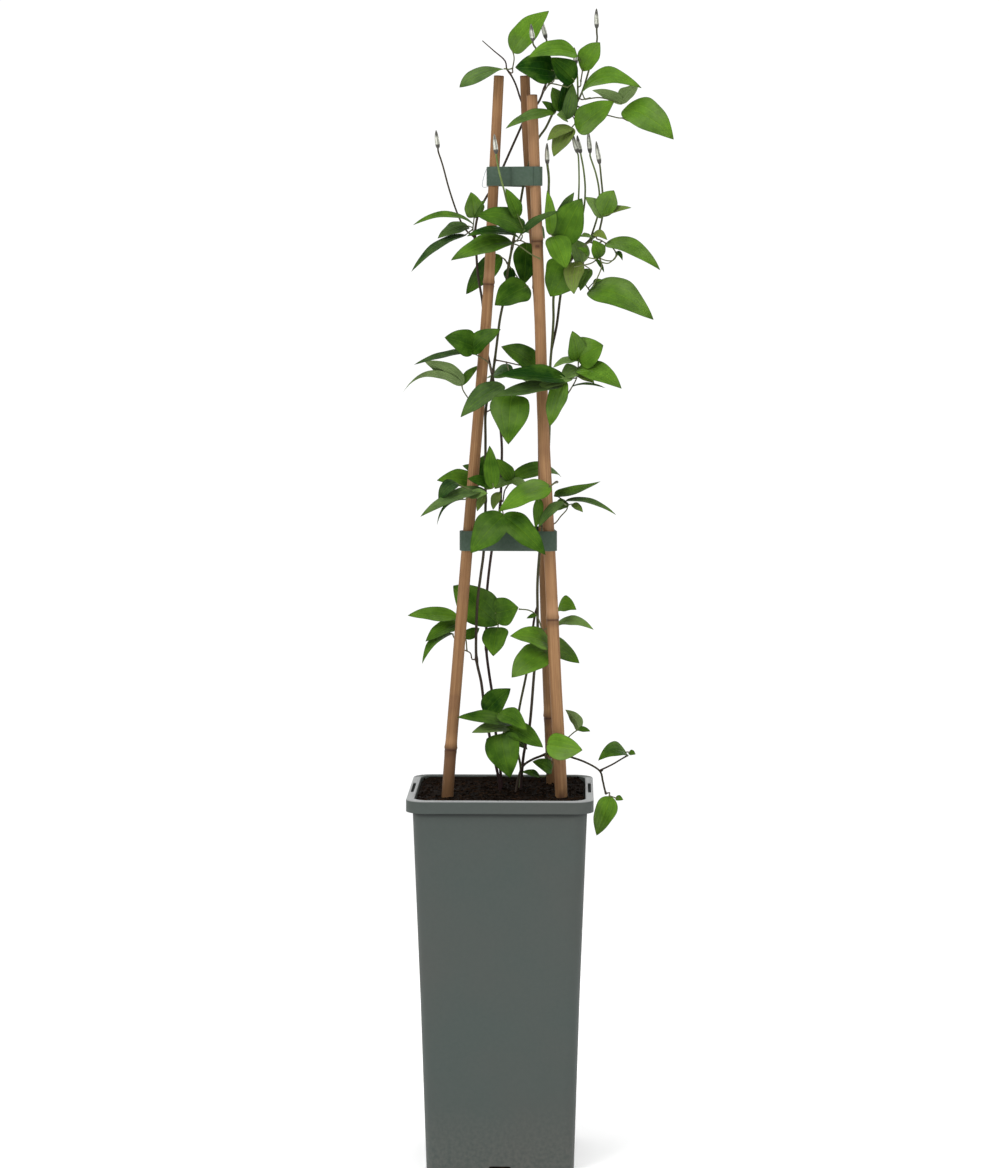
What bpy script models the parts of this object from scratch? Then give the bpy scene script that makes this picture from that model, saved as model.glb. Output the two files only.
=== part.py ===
"""Potted clematis on a wigwam of three bamboo canes.

The pot's bottom centre is the origin, +Z is up and the front of the plant faces -Y.
Points in the design tables are millimetres in that frame, and meshes are built in metres.
"""
import math

import bpy
import numpy as np
from mathutils import Vector

MM = 0.001
GAP = 0.3                 # clearance between pieces that touch, mm
TAU = 2 * math.pi

# Pot: half sizes of its square plan, mm
POT_HEIGHT = 240.0
RIM_HALF = 59.0
RIM_DROP = 8.0            # height of the skirt that hangs from the rim
BODY_TOP_HALF = 55.3
BODY_MID_HALF = 50.5
BODY_MID_Z = 113.0
BODY_FOOT_HALF = 47.0
POT_WALL = 1.4
SKIRT_WALL = 1.2
FLOOR = 2.2
CORNER_RADIUS = 11.0
CORNER_POINTS = 5
SLOT_LENGTH = 40.0
SLOT_WIDTH = 2.0
NOTCH_WIDTH = 15.0
NOTCH_HEIGHT = 4.2
NOTCH_DEPTH = 9.0

# Soil
SOIL_LEVEL = 236.8
SOIL_BUMP = 1.1
SOIL_RINGS = 7
HOLE_CLEARANCE = 0.35

# Canes: radius, then the points that the centre line passes, then the heights of the nodes
CANE_SIDES = 8
CANE_FOOT_Z = 93.0
NODE_SWELL = 0.35
CANE_TAPER = 0.75          # how much slimmer a cane is 600 mm above its foot
CANES = {
    "cane_left": (3.95, [(-42, -24, 93), (-34, -20, 237), (-27.2, -18, 324), (-21.0, -14, 401),
                         (-15.7, -11, 464), (-8.6, -7, 552), (-5.4, -5, 615), (-1.5, -4, 693)], (268, 563)),
    "cane_right": (4.1, [(43.5, -22, 93), (38.6, -20, 237), (34.7, -19, 312), (31.1, -16, 388),
                         (26.6, -12, 477), (24.2, -9, 552), (19.3, -6, 681)], (114, 351, 590)),
    "cane_back": (3.9, [(38.5, 42, 93), (32.4, 38, 237), (29.2, 31, 319), (27.2, 26, 385),
                        (26.0, 21, 476), (23.4, 16, 552), (16.6, 11.5, 647), (14.6, 9.5, 694)],
                  (138, 282, 560)),
}

# Bands: lower edge and height, mm
BAND_THICKNESS = 0.6
BAND_ARC_POINTS = 6
BANDS = {"band_upper": (624.0, 12.0), "band_middle": (394.0, 12.6)}

# Plant
STEM_SIDES = 5
STEM_STEP = 18.0
BRANCH_STEP = 12.0
STALK_SIDES = 3
STALK_STEP = 9.0
STALK_RADIUS = 0.5
BUD_RADIUS = 1.5
BLADE_THICKNESS = 0.7
BLADE_STEPS = (0.0, 0.11, 0.34, 0.68, 1.0)   # rows across a blade, as shares of its length
NARROW = 12.5
NARROW_STEPS = (0.0, 0.28, 0.64, 1.0)
LEAF_REACH = 3.0          # a leaf further than this from its stalk gets a small stalk of its own, mm
LEAF_SINK = 0.6           # how far a blade's base is sunk into its stalk
BLADE_FOLD = 0.25         # how far the two halves of a blade rise from the midrib
WIDEST = 0.36             # where a blade is widest, as a share of its length
TIP_POWER = 1.15

# Stems: for each branch its radius at the foot and at the end, and the points that it passes.
# A branch after the first starts on the nearest point of those before it.
STEMS = {
    "vine_left": [
        (0.9, 0.7, [(-1, 8, 225), (-1, 8, 234), (-2, 7, 245), (-7, 4, 269), (-11, 2, 292), (-13, 1, 308),
            (-16, 0, 323), (-16, -5, 342), (-15, -7, 362), (-13, -8, 378), (-11, -9, 394), (-10, -8, 419),
            (-10, -7, 445), (-10, -6, 464), (-10, -5, 481), (-8, -3, 494), (-5, -2, 509), (-3, -1, 524),
            (-1, 0, 540), (2, 1, 555), (4, 1, 571), (7, 1, 587), (10, 1, 602), (12, 2, 614), (14, 2, 625),
            (17, 2, 637), (22, 4, 652), (28, 4, 661), (33, 4, 671), (37, 3, 675), (42, 2, 673),
            (47, 0, 668)]),
    ],
    "vine_middle": [
        (0.9, 0.7, [(1, 16, 222), (0, 16, 233), (-1, 14, 249), (-4, 10, 275), (-6, 6, 299), (-8, 8, 312),
            (-10, 11, 328), (-10, 13, 347), (-10, 13, 360), (-8, 6, 380), (-5, -3, 400), (-1, -3, 419),
            (0, 0, 444), (0, 2, 463), (-3, 5, 489), (-7, 6, 509), (-11, 6, 528), (-12, 4, 549),
            (-15, 3, 568), (-16, 3, 581), (-17, 4, 593), (-15, 5, 606), (-10, 6, 617), (-4, 9, 626),
            (1, 11, 637), (9, 14, 655), (16, 17, 670), (23, 13, 677), (27, 8, 686), (29, 5, 692)]),
        (0.6, 0.55, [(16, 17, 670), (12, 16, 679), (9, 13, 688), (6, 8, 694), (3, 4, 698)]),
        (0.5, 0.3, [(3, 4, 698), (2, 2, 703), (-5, 0, 709), (-12, -2, 715)]),
    ],
    "vine_right": [
        (0.9, 0.75, [(12, 12, 222), (12, 12, 233), (14, 12, 259), (18, 11, 279), (21, 9, 315), (23, 9, 334),
            (23, 10, 352), (23, 10, 373), (25, 10, 399), (28, 8, 425), (30, 6, 457), (31, 5, 489),
            (31, 4, 510), (32, 4, 524), (33, 4, 540), (33, 4, 554), (35, 3, 571), (35, 1, 590),
            (32, -1, 604), (30, -2, 618), (30, -2, 629), (29, -2, 638)]),
        (0.8, 0.8, [(23, 10, 356), (21, 11, 349), (19, 12, 334), (16, 13, 313), (11, 16, 288), (9, 18, 268),
            (12, 20, 250), (11, 22, 232), (11, 22, 221)]),
        (0.8, 0.7, [(32, 4, 521), (35, 6, 536), (37, 7, 552), (39, 8, 565), (43, 8, 576), (50, 8, 585),
            (56, 6, 590), (62, 2, 595)]),
    ],
    "vine_trailing": [
        (0.8, 0.6, [(9, 3, 224), (9, 3, 235), (11, 7, 246), (14, 9, 253), (20, 10, 257), (25, 10, 259),
            (30, 9, 261), (36, 6, 262), (44, 1, 260), (54, -3, 257), (63, -6, 252), (65, -9, 246),
            (66, -13, 242), (67, -18, 239)]),
        (0.6, 0.5, [(63, -6, 252), (71, -6, 256), (76, -6, 259), (81, -6, 262)]),
        (0.5, 0.4, [(63, -7, 251), (65, -10, 253), (65, -11, 254)]),
    ],
}
BUDS = [
    ("vine_middle", (-41, -4, 659), [(-17, 4, 592), (-23, 4, 597), (-28, 2, 607), (-33, -2, 622),
        (-37, -4, 637), (-40, -4, 648)]),
    ("vine_middle", (19, -17, 724), [(29, 5, 691), (25, -3, 700), (22, -10, 709), (20, -14, 714)]),
    ("vine_middle", (25, 4, 730), [(29, 5, 691), (29, 8, 702), (28, 8, 710), (28, 6, 717)]),
    ("vine_left", (60, 0, 735), [(45, 1, 671), (51, 8, 684), (56, 6, 700), (60, 1, 714), (60, 0, 723)]),
    ("vine_left", (46, 2, 711), [(46, 0, 669), (48, 1, 678), (48, 2, 691), (47, 2, 701)]),
    ("vine_left", (-4, -13, 656), [(10, 1, 599), (8, -4, 605), (4, -9, 613), (2, -14, 621), (-1, -16, 632),
        (-3, -14, 644)]),
    ("vine_right", (29, -2, 651), []),
    ("vine_right", (45, -4, 657), [(42, 8, 573), (45, 2, 587), (48, -2, 606), (49, -3, 622), (49, -3, 634),
        (48, -3, 645)]),
    ("vine_right", (48, 1, 656), [(45, 8, 578), (48, 8, 593), (52, 4, 609), (53, 2, 622), (52, 1, 634),
        (50, 1, 645)]),
    ("vine_right", (55, 2, 659), [(56, 6, 590), (61, 6, 606), (62, 5, 619), (60, 3, 631), (56, 2, 645)]),
    ("vine_right", (60, -4, 652), [(62, 2, 595), (64, -1, 606), (64, -3, 618), (63, -4, 629),
        (62, -4, 638)]),
]
SPRAYS = {
    "spray_low_single": ("vine_left", [
        [(-11, 2, 289), (-12, -2, 288), (-10, -4, 289)],
    ], [
        ((-10, -4, 289), (6, -7, 305), 16, 70, 0.1),
    ]),
    "spray_low_middle": ("vine_middle", [
        [(-3, 11, 268), (1, 5, 269), (1, -2, 272), (4, -12, 281), (7, -14, 284)],
        [(1, 4, 270), (3, 12, 268), (2, 21, 267), (0, 27, 267)],
        [(4, -11, 280), (1, -16, 277), (0, -20, 277)],
        [(3, -8, 278), (1, -15, 284), (-1, -18, 290)],
    ], [
        ((8, -14, 285), (-27, -36, 290), 14, 28, 0.02),
        ((6, -13, 279), (-18, -34, 280), 12, 32, 0.04),
        ((-1, -18, 290), (17, -29, 281), 13, 55, 0.18),
        ((6, -12, 281), (27, -28, 270), 15, 50, 0.04),
        ((0, -20, 277), (6, -25, 250), 23, 86, 0.1, 0.24),
        ((0, 26, 267), (-10, 50, 256), 14, -50, 0.1),
        ((0, 27, 268), (16, 48, 258), 15, -60, 0.2),
    ]),
    "spray_low_right": ("vine_trailing", [
        [(32, 8, 261), (32, -4, 259), (29, -18, 263), (30, -27, 272)],
        [(32, 4, 259), (38, -5, 268), (42, -9, 273), (47, -13, 278), (50, -15, 280)],
    ], [
        ((30, -27, 273), (52, -33, 269), 17, 82, 0.1),
        ((50, -15, 280), (41, -11, 292), 9, -60, 0.2),
    ]),
    "spray_low_small": ("vine_trailing", [
        [(28, 9, 260), (33, 4, 256), (32, 1, 251)],
        [(32, 2, 252), (28, 2, 247), (23, 3, 247)],
    ], [
        ((32, 1, 251), (20, -8, 258), 10, 50, 0.1),
        ((24, 3, 247), (13, 0, 250), 7, 30, 0.1),
    ]),
    "spray_trail_upper": ("vine_trailing", [
        [(81, -6, 262), (82, -6, 264), (84, -6, 263)],
    ], [
        ((81, -7, 263), (62, -16, 260), 14, 38, 0.28),
    ]),
    "spray_trail_lower": ("vine_trailing", [
        [(67, -18, 239), (69, -20, 238), (70, -22, 237)],
        [(69, -20, 238), (73, -22, 237), (75, -24, 237)],
    ], [
        ((70, -22, 237), (61, -30, 214), 14, 80, 0.1),
    ]),
    "spray_second_left": ("vine_left", [
        [(-16, 0, 323), (-20, 0, 327), (-25, -2, 330), (-30, -5, 337), (-31, -6, 340)],
        [(-22, -1, 328), (-23, -2, 337), (-27, -4, 345), (-28, -6, 351)],
    ], [
        ((-31, -6, 340), (-50, -18, 322), 9, 35, 0.2),
        ((-28, -5, 346), (-48, -16, 336), 13, 45, 0.1),
        ((-28, -6, 351), (-59, -20, 353), 13, 38, 0.02),
        ((-23, -0.5, 338), (-14, 0.3, 343), 7.5, 80, 0.0),
    ]),
    "spray_second_middle": ("vine_middle", [
        [(-10, 11, 329), (-7, 6, 332), (-3, 2, 339), (-2, 1, 346)],
    ], [
        ((-2, 3, 347), (-31, 3, 370), 24, 82, 0.03, 0.45),
        ((-5, 2, 352), (11, -7, 357), 19, 80, 0.1, 0.45),
        ((-2, 1, 343), (-5, -10, 326), 17, 75, 0.1),
    ]),
    "spray_second_right": ("vine_right", [
        [(21, 9, 318), (25, 0, 323), (28, -10, 329)],
        [(27, -8, 327), (31, -10, 333)],
    ], [
        ((28, -10, 329), (7, -24, 314), 20, 62, 0.1),
        ((30, -9.5, 334), (5.5, -23, 340.5), 16.5, 41, 0.12),
    ]),
    "spray_second_behind": ("vine_right", [
        [(23, 9, 340), (26, 4, 341), (30, 3, 343), (35, 2, 344)],
        [(30, 3, 343), (33, 4, 351), (37, 5, 356)],
        [(26, 4, 341), (26, 3, 336), (25, 2, 332)],
    ], [
        ((25, 2, 331), (50, -4, 321), 16, 48, 0.12),
        ((35, 2, 345), (59, -8, 343), 10, 32, 0.2),
        ((36, 5, 358), (48, 0, 355), 13, 52, 0.35),
    ]),
    "spray_third_left": ("vine_left", [
        [(-10, -8, 426), (-10, -13, 429), (-11, -19, 433)],
        [(-10, -13, 429), (-13, -8, 431), (-15, -1, 434), (-16, 2, 435)],
        [(-11, -18, 433), (-19, -22, 433), (-28, -22, 437)],
    ], [
        ((-5, -21, 434), (-7, -23, 461), 10.5, 80, 0.1),
        ((-16, 2, 436), (-8, 4, 455), 13, 75, 0.1),
        ((-11, -20, 434), (-50, -38, 417), 13, 32, 0.08),
        ((-16, 2, 435), (-41, -6, 438), 15, 50, 0.15),
        ((-28, -22, 437), (-39, -28, 426), 10, 60, 0.3),
        ((-13, 6, 441), (-25, 4, 447), 8, 55, 0.1),
        ((-20, -23, 429), (-8, -26, 431), 8, 50, 0.1),
        ((-5, -18, 435), (-21, -22, 440), 9.5, 50, 0.1),
        ((-9, -14, 428), (-15, -17, 419), 6, 60, 0.1),
    ]),
    "spray_third_middle": ("vine_middle", [
        [(-1, -3, 425), (2, 2, 431), (5, 14, 435), (6, 29, 436)],
        [(3, 5, 433), (5, 1, 436), (6, -4, 438)],
    ], [
        ((6, -4, 438), (-3, -8, 452), 10, 60, 0.1),
        ((6, 29, 437), (38, 54, 437), 14, 35, 0.2),
        ((6, -4, 438), (-4, -13, 433), 9, 45, 0.1),
        ((6, 22, 435), (-8, 46, 439), 14, 30, 0.1),
        ((6, 26, 436), (14, 52, 427), 14, -20, 0.1),
        ((7, -6, 439), (18, -14, 432), 8, 45, 0.1),
        ((-1, -13, 431), (-5, -16, 420), 7, 60, 0.1),
    ]),
    "spray_third_front": ("vine_middle", [
        [(-1, -4, 421), (1, -14, 419), (2, -25, 417)],
    ], [
        ((1.5, -26, 419.5), (-18.5, -36, 394), 20.5, 78, 0.1),
        ((4.5, -25, 418.5), (28.5, -35, 393), 16.5, 72, 0.1),
    ]),
    "spray_third_twining": ("vine_right", [
        [(29, 7, 434), (35, 2, 437), (36, -10, 437), (34, -20, 437), (31, -23, 435)],
        [(31, -23, 435), (25, -25, 432)],
    ], [
        ((31, -23, 435), (-1, -36, 420), 18, 50, 0.08),
        ((24, -25, 428), (22, -27, 409), 7, 70, 0.1),
    ]),
    "spray_third_right": ("vine_right", [
        [(26, 10, 409), (34, 4, 410), (38, 0, 415), (42, -3, 420), (41, -4, 425)],
        [(41, -4, 424), (34, -2, 429)],
        [(42, -4, 422), (41, -12, 423), (39, -20, 425)],
    ], [
        ((34, -2, 430), (63, -14, 438), 10, 30, -0.06, 0.27),
        ((41, -4, 425), (73, -20, 417), 8, 25, 0.1, 0.3),
        ((45, -5, 423), (52, -8, 418), 5, 60, 0.1),
        ((39, -20, 425), (24, -34, 410), 8, 50, 0.1),
        ((41, -5, 424), (34, -9, 419), 8, 65, 0.1),
    ]),
    "spray_fourth_left": ("vine_left", [
        [(-5, -2, 507), (-8, -14, 513), (-14, -18, 517), (-19, -18, 520)],
        [(-17, -18, 519), (-17, -18, 523)],
    ], [
        ((-19, -18, 520), (0, -22, 534), 14, 58, 0.1),
        ((-21, -18, 520), (-54, -32, 512), 9, 25, 0.05),
        ((-16, -18, 524), (-35, -28, 529), 18, 66, 0.1),
    ]),
    "spray_fourth_outer": ("vine_left", [
        [(-10, -4, 481), (-15, -3, 485), (-20, -4, 489), (-24, -8, 495), (-25, -9, 499)],
    ], [
        ((-25, -9, 499), (-48, -20, 514), 15, -50, 0.1),
        ((-25, -9, 499), (-61, -26, 495), 9, -30, 0.25),
        ((-25, -9, 500), (-14, -1, 511), 6, 60, 0.1),
    ]),
    "spray_fourth_heart": ("vine_left", [
        [(-9, -6, 482), (-3, -12, 486), (7, -23, 492)],
        [(-6, -9, 484), (-1, -12, 493), (1, -15, 499)],
    ], [
        ((7, -23, 493), (5, -30, 462), 25, 86, 0.1, 0.24),
        ((1, -15, 499), (-25, -30, 479), 15, 58, 0.1),
    ]),
    "spray_fourth_inner": ("vine_left", [
        [(-3, -1, 514), (3, 0, 513), (12, 1, 511), (22, 2, 510)],
        [(3, 0, 513), (5, 12, 506), (6, 18, 504)],
    ], [
        ((23, 2, 510), (0, -9, 523), 16, 64, 0.1),
        ((6, 18, 504), (18, 46, 498), 15, -30, 0.1),
        ((6, 16, 504), (-9, 44, 502), 15, 30, 0.1),
    ]),
    "spray_fourth_right": ("vine_right", [
        [(31, 6, 478), (35, 3, 484), (40, -1, 490), (44, -8, 496), (48, -12, 504), (49, -12, 515)],
        [(48, -12, 503), (44, -19, 503), (40, -21, 502)],
    ], [
        ((41, -20, 503), (-2, -32, 505), 19, 33, 0.03),
        ((39, -22, 499), (-4, -34, 492), 15, 32, 0.03),
        ((45, -19, 504), (20, -27, 494), 11, 40, 0.1),
        ((40, -20, 501), (31, -24, 473), 13, 70, 0.1),
        ((50, -12, 517), (45, -20, 533), 13, 75, 0.1),
        ((49, -12, 517), (64.5, -20, 524), 21, 72, 0.1, 0.45),
        ((50, -12, 509), (76, -28, 497), 17, 50, 0.15),
        ((49, -12, 514), (33, -22, 510), 10, 28, 0.1),
        ((49, -12, 506), (59, -18, 500), 7, 60, 0.1),
        ((49, -13, 509), (38, -20, 502), 12, 55, 0.1),
    ]),
    "spray_fifth_left": ("vine_middle", [
        [(-17, 3, 595), (-18, -3, 597), (-17, -6, 605)],
        [(-18, -3, 597), (-23, -6, 593)],
    ], [
        ((-17, -6, 605), (-19, -12, 620), 13, 72, 0.1),
        ((-17, -6, 605), (-10, -10, 615), 7, 60, 0.1),
        ((-18, -4, 600), (-55, -24, 599), 9, 28, 0.16),
        ((-21, -2, 599), (-40, -12, 591), 12, 45, 0.1),
        ((-23, -5, 592), (-56, -24, 570), 10, 35, 0.1),
    ]),
    "spray_fifth_front": ("vine_left", [
        [(7, 1, 586), (7, -6, 588), (6, -11, 589)],
        [(7, -5, 588), (11, -10, 591), (14, -13, 597)],
        [(7, -6, 588), (12, -14, 586), (19, -15, 581), (25, -15, 578)],
    ], [
        ((6, -11, 589), (-31, -30, 577), 16, 48, 0.1),
        ((10, -12, 591), (-21, -30, 592), 14, 22, 0.1),
        ((14, -13, 598), (-15, -28, 605), 18, 52, 0.1),
        ((11, -15, 604), (3, -22, 622), 9.5, 68, 0.1),
        ((13, -16, 594), (37, -21, 608), 8, 40, 0.08),
    ]),
    "spray_fifth_inner": ("vine_left", [
        [(5, 2, 575), (2, 8, 578), (-1, 13, 580)],
        [(1, 8, 578), (7, 8, 571), (12, 2, 564), (14, -2, 562)],
    ], [
        ((-1, 13, 580), (-23, 15, 556), 14, 76, 0.1),
        ((17, -3, 561), (-4, -12, 549), 20, 66, 0.1),
        ((6, 8, 572), (5, 12, 562), 9, 60, 0.1),
    ]),
    "spray_fifth_shade": ("vine_left", [
        [(8, 2, 590), (12, 3, 590), (16, 5, 588)],
        [(12, 3, 590), (13, 14, 593), (11, 20, 596)],
    ], [
        ((16, 5, 588), (14, 6, 562), 16.5, 76, 0.1),
        ((11, 20, 596), (-2, 46, 601), 16, 40, 0.1),
        ((12, 20, 595), (27, 46, 592), 16, -30, 0.1),
    ]),
    "spray_fifth_round": ("vine_right", [
        [(35, 3, 575), (37, 0, 577), (38, -1, 579)],
    ], [
        ((42, -3, 575), (30.5, -8, 554.5), 22.8, 84, 0.05),
    ]),
    "spray_fifth_dark": ("vine_right", [
        [(35, 1, 586), (38, -5, 589)],
        [(37, -3, 588), (34, -8, 591), (31, -8, 594)],
    ], [
        ((39, -6, 589), (51, -14, 616), 23, 70, 0.1),
        ((35, -9, 594), (41, -16, 572), 17, 72, 0.1),
        ((31, -8, 594), (29, -12, 621), 8, 70, 0.1),
        ((37, -4, 602), (46, -7, 620), 8, 72, 0.1),
    ]),
    "spray_fifth_curly": ("vine_right", [
        [(60, 4, 593), (63, -1, 590), (66, -5, 588)],
        [(64, -2, 590), (60, -6, 586), (62, -8, 579), (70, -9, 577), (74, -8, 582)],
        [(62, -8, 579), (57, -11, 575.5), (51, -14, 574), (46, -15, 573)],
    ], [
        ((66, -6, 588), (100, -22, 571), 14, 52, 0.16),
        ((62, -8, 579), (58, -12, 590), 11, 60, 0.1),
        ((58, -7, 594), (67, -11, 590), 6, 60, 0.25),
        ((60, -8, 591), (50, -15, 592), 6, 30, 0.1),
    ]),
    "spray_fifth_outer": ("vine_right", [
        [(50, 9, 585), (52, 6, 576), (52, 1, 565), (56, -3, 558)],
        [(52, 6, 576), (50, 0, 576), (48, -6, 576)],
    ], [
        ((56, -4, 558), (96, -22, 540), 22, 60, 0.2),
        ((50, -6, 574), (46, -14, 556), 14, 65, 0.1),
        ((53, 3, 576), (45, -4, 591), 14, 60, 0.1),
        ((56, -5, 572), (50, -11, 558), 9.5, 60, 0.1),
    ]),
    "spray_fifth_tips": ("vine_right", [
        [(64, -1, 606), (64, -4, 605), (64, -8, 605)],
    ], [
        ((64, -9, 605), (71, -12, 621), 15, 70, 0.1, 0.5),
        ((66, -7, 607), (82, -16, 610), 7, 40, 0.1),
        ((63, -5, 607), (53, -9, 617), 10, 62, 0.1),
    ]),
    "spray_top_left": ("vine_middle", [
        [(5, 6, 695), (7, 1, 698), (8, 0, 704), (7, 0, 709)],
        [(7, 1, 698), (5, -5, 697), (2, -9, 697)],
    ], [
        ((7, 0, 710), (30, -8, 733), 17, 70, 0.1),
        ((2, -9, 697), (-26, -16, 685), 13, 48, 0.1, 0.62),
    ]),
    "spray_top_dark": ("vine_middle", [
        [(27, 8, 685), (28, 0, 685), (30, -10, 688), (30, -13, 691)],
        [(30, -10, 688), (35, -11, 687), (42, -15, 685)],
        [(29, -6, 688), (32, -2, 689), (33, 2, 690), (33, 12, 693), (30, 22, 696)],
    ], [
        ((34, -11, 695), (9, -21, 697), 22, 66, 0.1),
        ((46, -13, 689), (31, -20, 703), 16, 70, 0.1),
        ((30, 22, 696), (17, 46, 703), 16, 40, 0.1),
        ((31, 21, 695), (44, 44, 693), 15, -40, 0.1),
    ]),
    "spray_top_bright": ("vine_left", [
        [(48, 2, 686), (50, -3, 687), (50, -6, 690)],
        [(50, -5, 689), (51, -8, 699), (47, -10, 706)],
    ], [
        ((47, -10, 707), (17, -22, 703), 16, 50, 0.15),
        ((50, -7, 696), (62, -13, 713), 15, 68, 0.1, 0.5),
    ]),
    "spray_top_upright": ("vine_left", [
        [(41, 2, 674), (39, -3, 670), (41, -6, 666)],
    ], [
        ((40, -4, 672), (42, -3, 693), 11, 75, 0.1),
        ((41, -6, 666), (45, -6, 688), 9.5, 75, 0.1),
        ((38, -2, 671), (32, 0, 686), 11, 75, 0.1),
        ((42, -7, 664), (35, -13, 668), 9, 50, 0.1),
    ]),
    "spray_top_right": ("vine_left", [
        [(48, 1, 679), (51, -4, 678), (56, -7, 679)],
        [(53, -5, 677), (62, -8, 679), (70, -10, 677), (76, -12, 675)],
    ], [
        ((51, -6, 683), (88, -22, 684), 16.5, 46, 0.26),
        ((76, -12, 676), (57, -18, 683), 10, -40, 0.1),
        ((75, -12, 676), (86, -20, 686), 11, -52, 0.1),
    ]),
    "spray_top_outer": ("vine_left", [
        [(47, 1, 674), (51, -3, 670), (57, -8, 667), (65, -12, 668), (76, -14, 666), (78, -14, 672)],
        [(76, -14, 666), (81, -15, 664), (85, -16, 668)],
    ], [
        ((78, -14, 673), (108, -26, 652), 22.5, 64, 0.2),
    ]),
    "spray_top_low": ("vine_left", [
        [(46, 1, 669), (46, -4, 666), (47, -7, 662), (48, -9, 659)],
        [(47, -6, 663), (44, -8, 660)],
    ], [
        ((48, -8, 658), (71, -18, 676), 18.5, 66, 0.1),
        ((44, -8, 660), (29, -15, 652), 11, 45, 0.1),
        ((45, -8, 659), (33, -13, 642), 13.5, 64, 0.1),
    ]),
    "spray_top_front": ("vine_left", [
        [(33, 4, 671), (34, -4, 670), (33, -9, 669)],
    ], [
        ((33, -9, 669), (3, -22, 659), 11, 40, 0.1),
        ((32, -3, 672), (25.5, -5, 677), 6, 60, 0.1),
    ]),
}

COLOURS = {
    "pot": ((0.089, 0.109, 0.098), 0.5),
    "soil": ((0.012, 0.008, 0.006), 0.95),
    "cane": ((0.43, 0.22, 0.11), 0.6),
    "band": ((0.07, 0.114, 0.098), 0.45),
    "stem": ((0.061, 0.023, 0.032), 0.55),
    "leaf": ((0.09, 0.26, 0.03), 0.5),
    "bud": ((0.75, 0.72, 0.58), 0.55),
}


def clear_scene():
    for thing in list(bpy.data.objects):
        bpy.data.objects.remove(thing, do_unlink=True)


def material(name):
    colour, roughness = COLOURS[name]
    made = bpy.data.materials.get(name)
    if made is None:
        made = bpy.data.materials.new(name)
        made.use_nodes = True
        shader = made.node_tree.nodes["Principled BSDF"]
        shader.inputs["Base Color"].default_value = (*colour, 1.0)
        shader.inputs["Roughness"].default_value = roughness
        shader.inputs["Metallic"].default_value = 0.0
    return made


def add_object(name, verts, faces, colour, smooth_angle=None):
    """Make an object from points in millimetres."""
    mesh = bpy.data.meshes.new(name)
    mesh.from_pydata((np.asarray(verts, float) * MM).tolist(), [], faces)
    mesh.validate()
    mesh.materials.append(material(colour))
    thing = bpy.data.objects.new(name, mesh)
    bpy.context.scene.collection.objects.link(thing)
    if smooth_angle is not None:
        mesh.shade_smooth()
        mesh.set_sharp_from_angle(angle=math.radians(smooth_angle))
    return thing


def apply_modifiers(thing):
    """Replace the object's mesh with its evaluated one."""
    graph = bpy.context.evaluated_depsgraph_get()
    mesh = bpy.data.meshes.new_from_object(thing.evaluated_get(graph))
    thing.modifiers.clear()
    thing.data = mesh


def combine(target, others, operation, solver="EXACT"):
    """Join the others to the target, or cut them from it, in one Boolean, and remove them."""
    if not others:
        return target
    group = bpy.data.collections.new(target.name + "_tools")
    bpy.context.scene.collection.children.link(group)
    for thing in others:
        bpy.context.scene.collection.objects.unlink(thing)
        group.objects.link(thing)
    cut = target.modifiers.new("combine", "BOOLEAN")
    cut.operation = operation
    cut.operand_type = "COLLECTION"
    cut.collection = group
    cut.solver = solver
    apply_modifiers(target)
    for thing in others:
        bpy.data.objects.remove(thing, do_unlink=True)
    bpy.data.collections.remove(group)
    return target


def smooth_path(points, step):
    """Points at an even step along a Catmull-Rom curve through the given points."""
    points = np.asarray(points, float)
    ends = np.vstack([2 * points[0] - points[1], points, 2 * points[-1] - points[-2]])
    t = np.linspace(0, 1, 12, endpoint=False)[:, None]
    runs = []
    for a, b, c, d in zip(ends[:-3], ends[1:-2], ends[2:-1], ends[3:]):
        runs.append(0.5 * (2 * b + (c - a) * t + (2 * a - 5 * b + 4 * c - d) * t ** 2
                           + (3 * b - a - 3 * c + d) * t ** 3))
    dense = np.vstack(runs + [points[-1:]])
    lengths = np.r_[0, np.cumsum(np.linalg.norm(np.diff(dense, axis=0), axis=1))]
    count = max(1, round(lengths[-1] / step))
    at = np.linspace(0, lengths[-1], count + 1)
    return np.stack([np.interp(at, lengths, dense[:, k]) for k in range(3)], axis=1)


def tangents(path):
    along = np.gradient(path, axis=0)
    return along / np.linalg.norm(along, axis=1)[:, None]


def tube(path, radii, sides):
    """Rings across the path, turned as little as possible from one to the next, with flat ends."""
    along = tangents(path)
    radii = np.broadcast_to(np.asarray(radii, float), len(path))
    side = Vector(along[0]).orthogonal().normalized()
    turn = np.arange(sides) * TAU / sides
    verts = []
    for centre, direction, radius in zip(path, along, radii):
        side = (side - Vector(direction) * side.dot(Vector(direction))).normalized()
        across = np.cross(direction, side)
        ring = np.outer(np.cos(turn), side) + np.outer(np.sin(turn), across)
        verts.extend(centre + radius * ring)
    faces = []
    for row in range(len(path) - 1):
        for k in range(sides):
            a = row * sides + k
            b = row * sides + (k + 1) % sides
            faces.append((a, b, b + sides, a + sides))
    faces.append(tuple(reversed(range(sides))))
    faces.append(tuple(range(len(verts) - sides, len(verts))))
    return verts, faces


def rounded_square(half, radius):
    """Corner arcs of a square, counterclockwise."""
    centre = half - radius
    points = []
    for quarter in range(4):
        start = quarter * TAU / 4
        corner = (math.copysign(centre, math.cos(start + TAU / 8)),
                  math.copysign(centre, math.sin(start + TAU / 8)))
        for k in range(CORNER_POINTS):
            angle = start + k / (CORNER_POINTS - 1) * TAU / 4
            points.append((corner[0] + radius * math.cos(angle), corner[1] + radius * math.sin(angle)))
    return points


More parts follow.
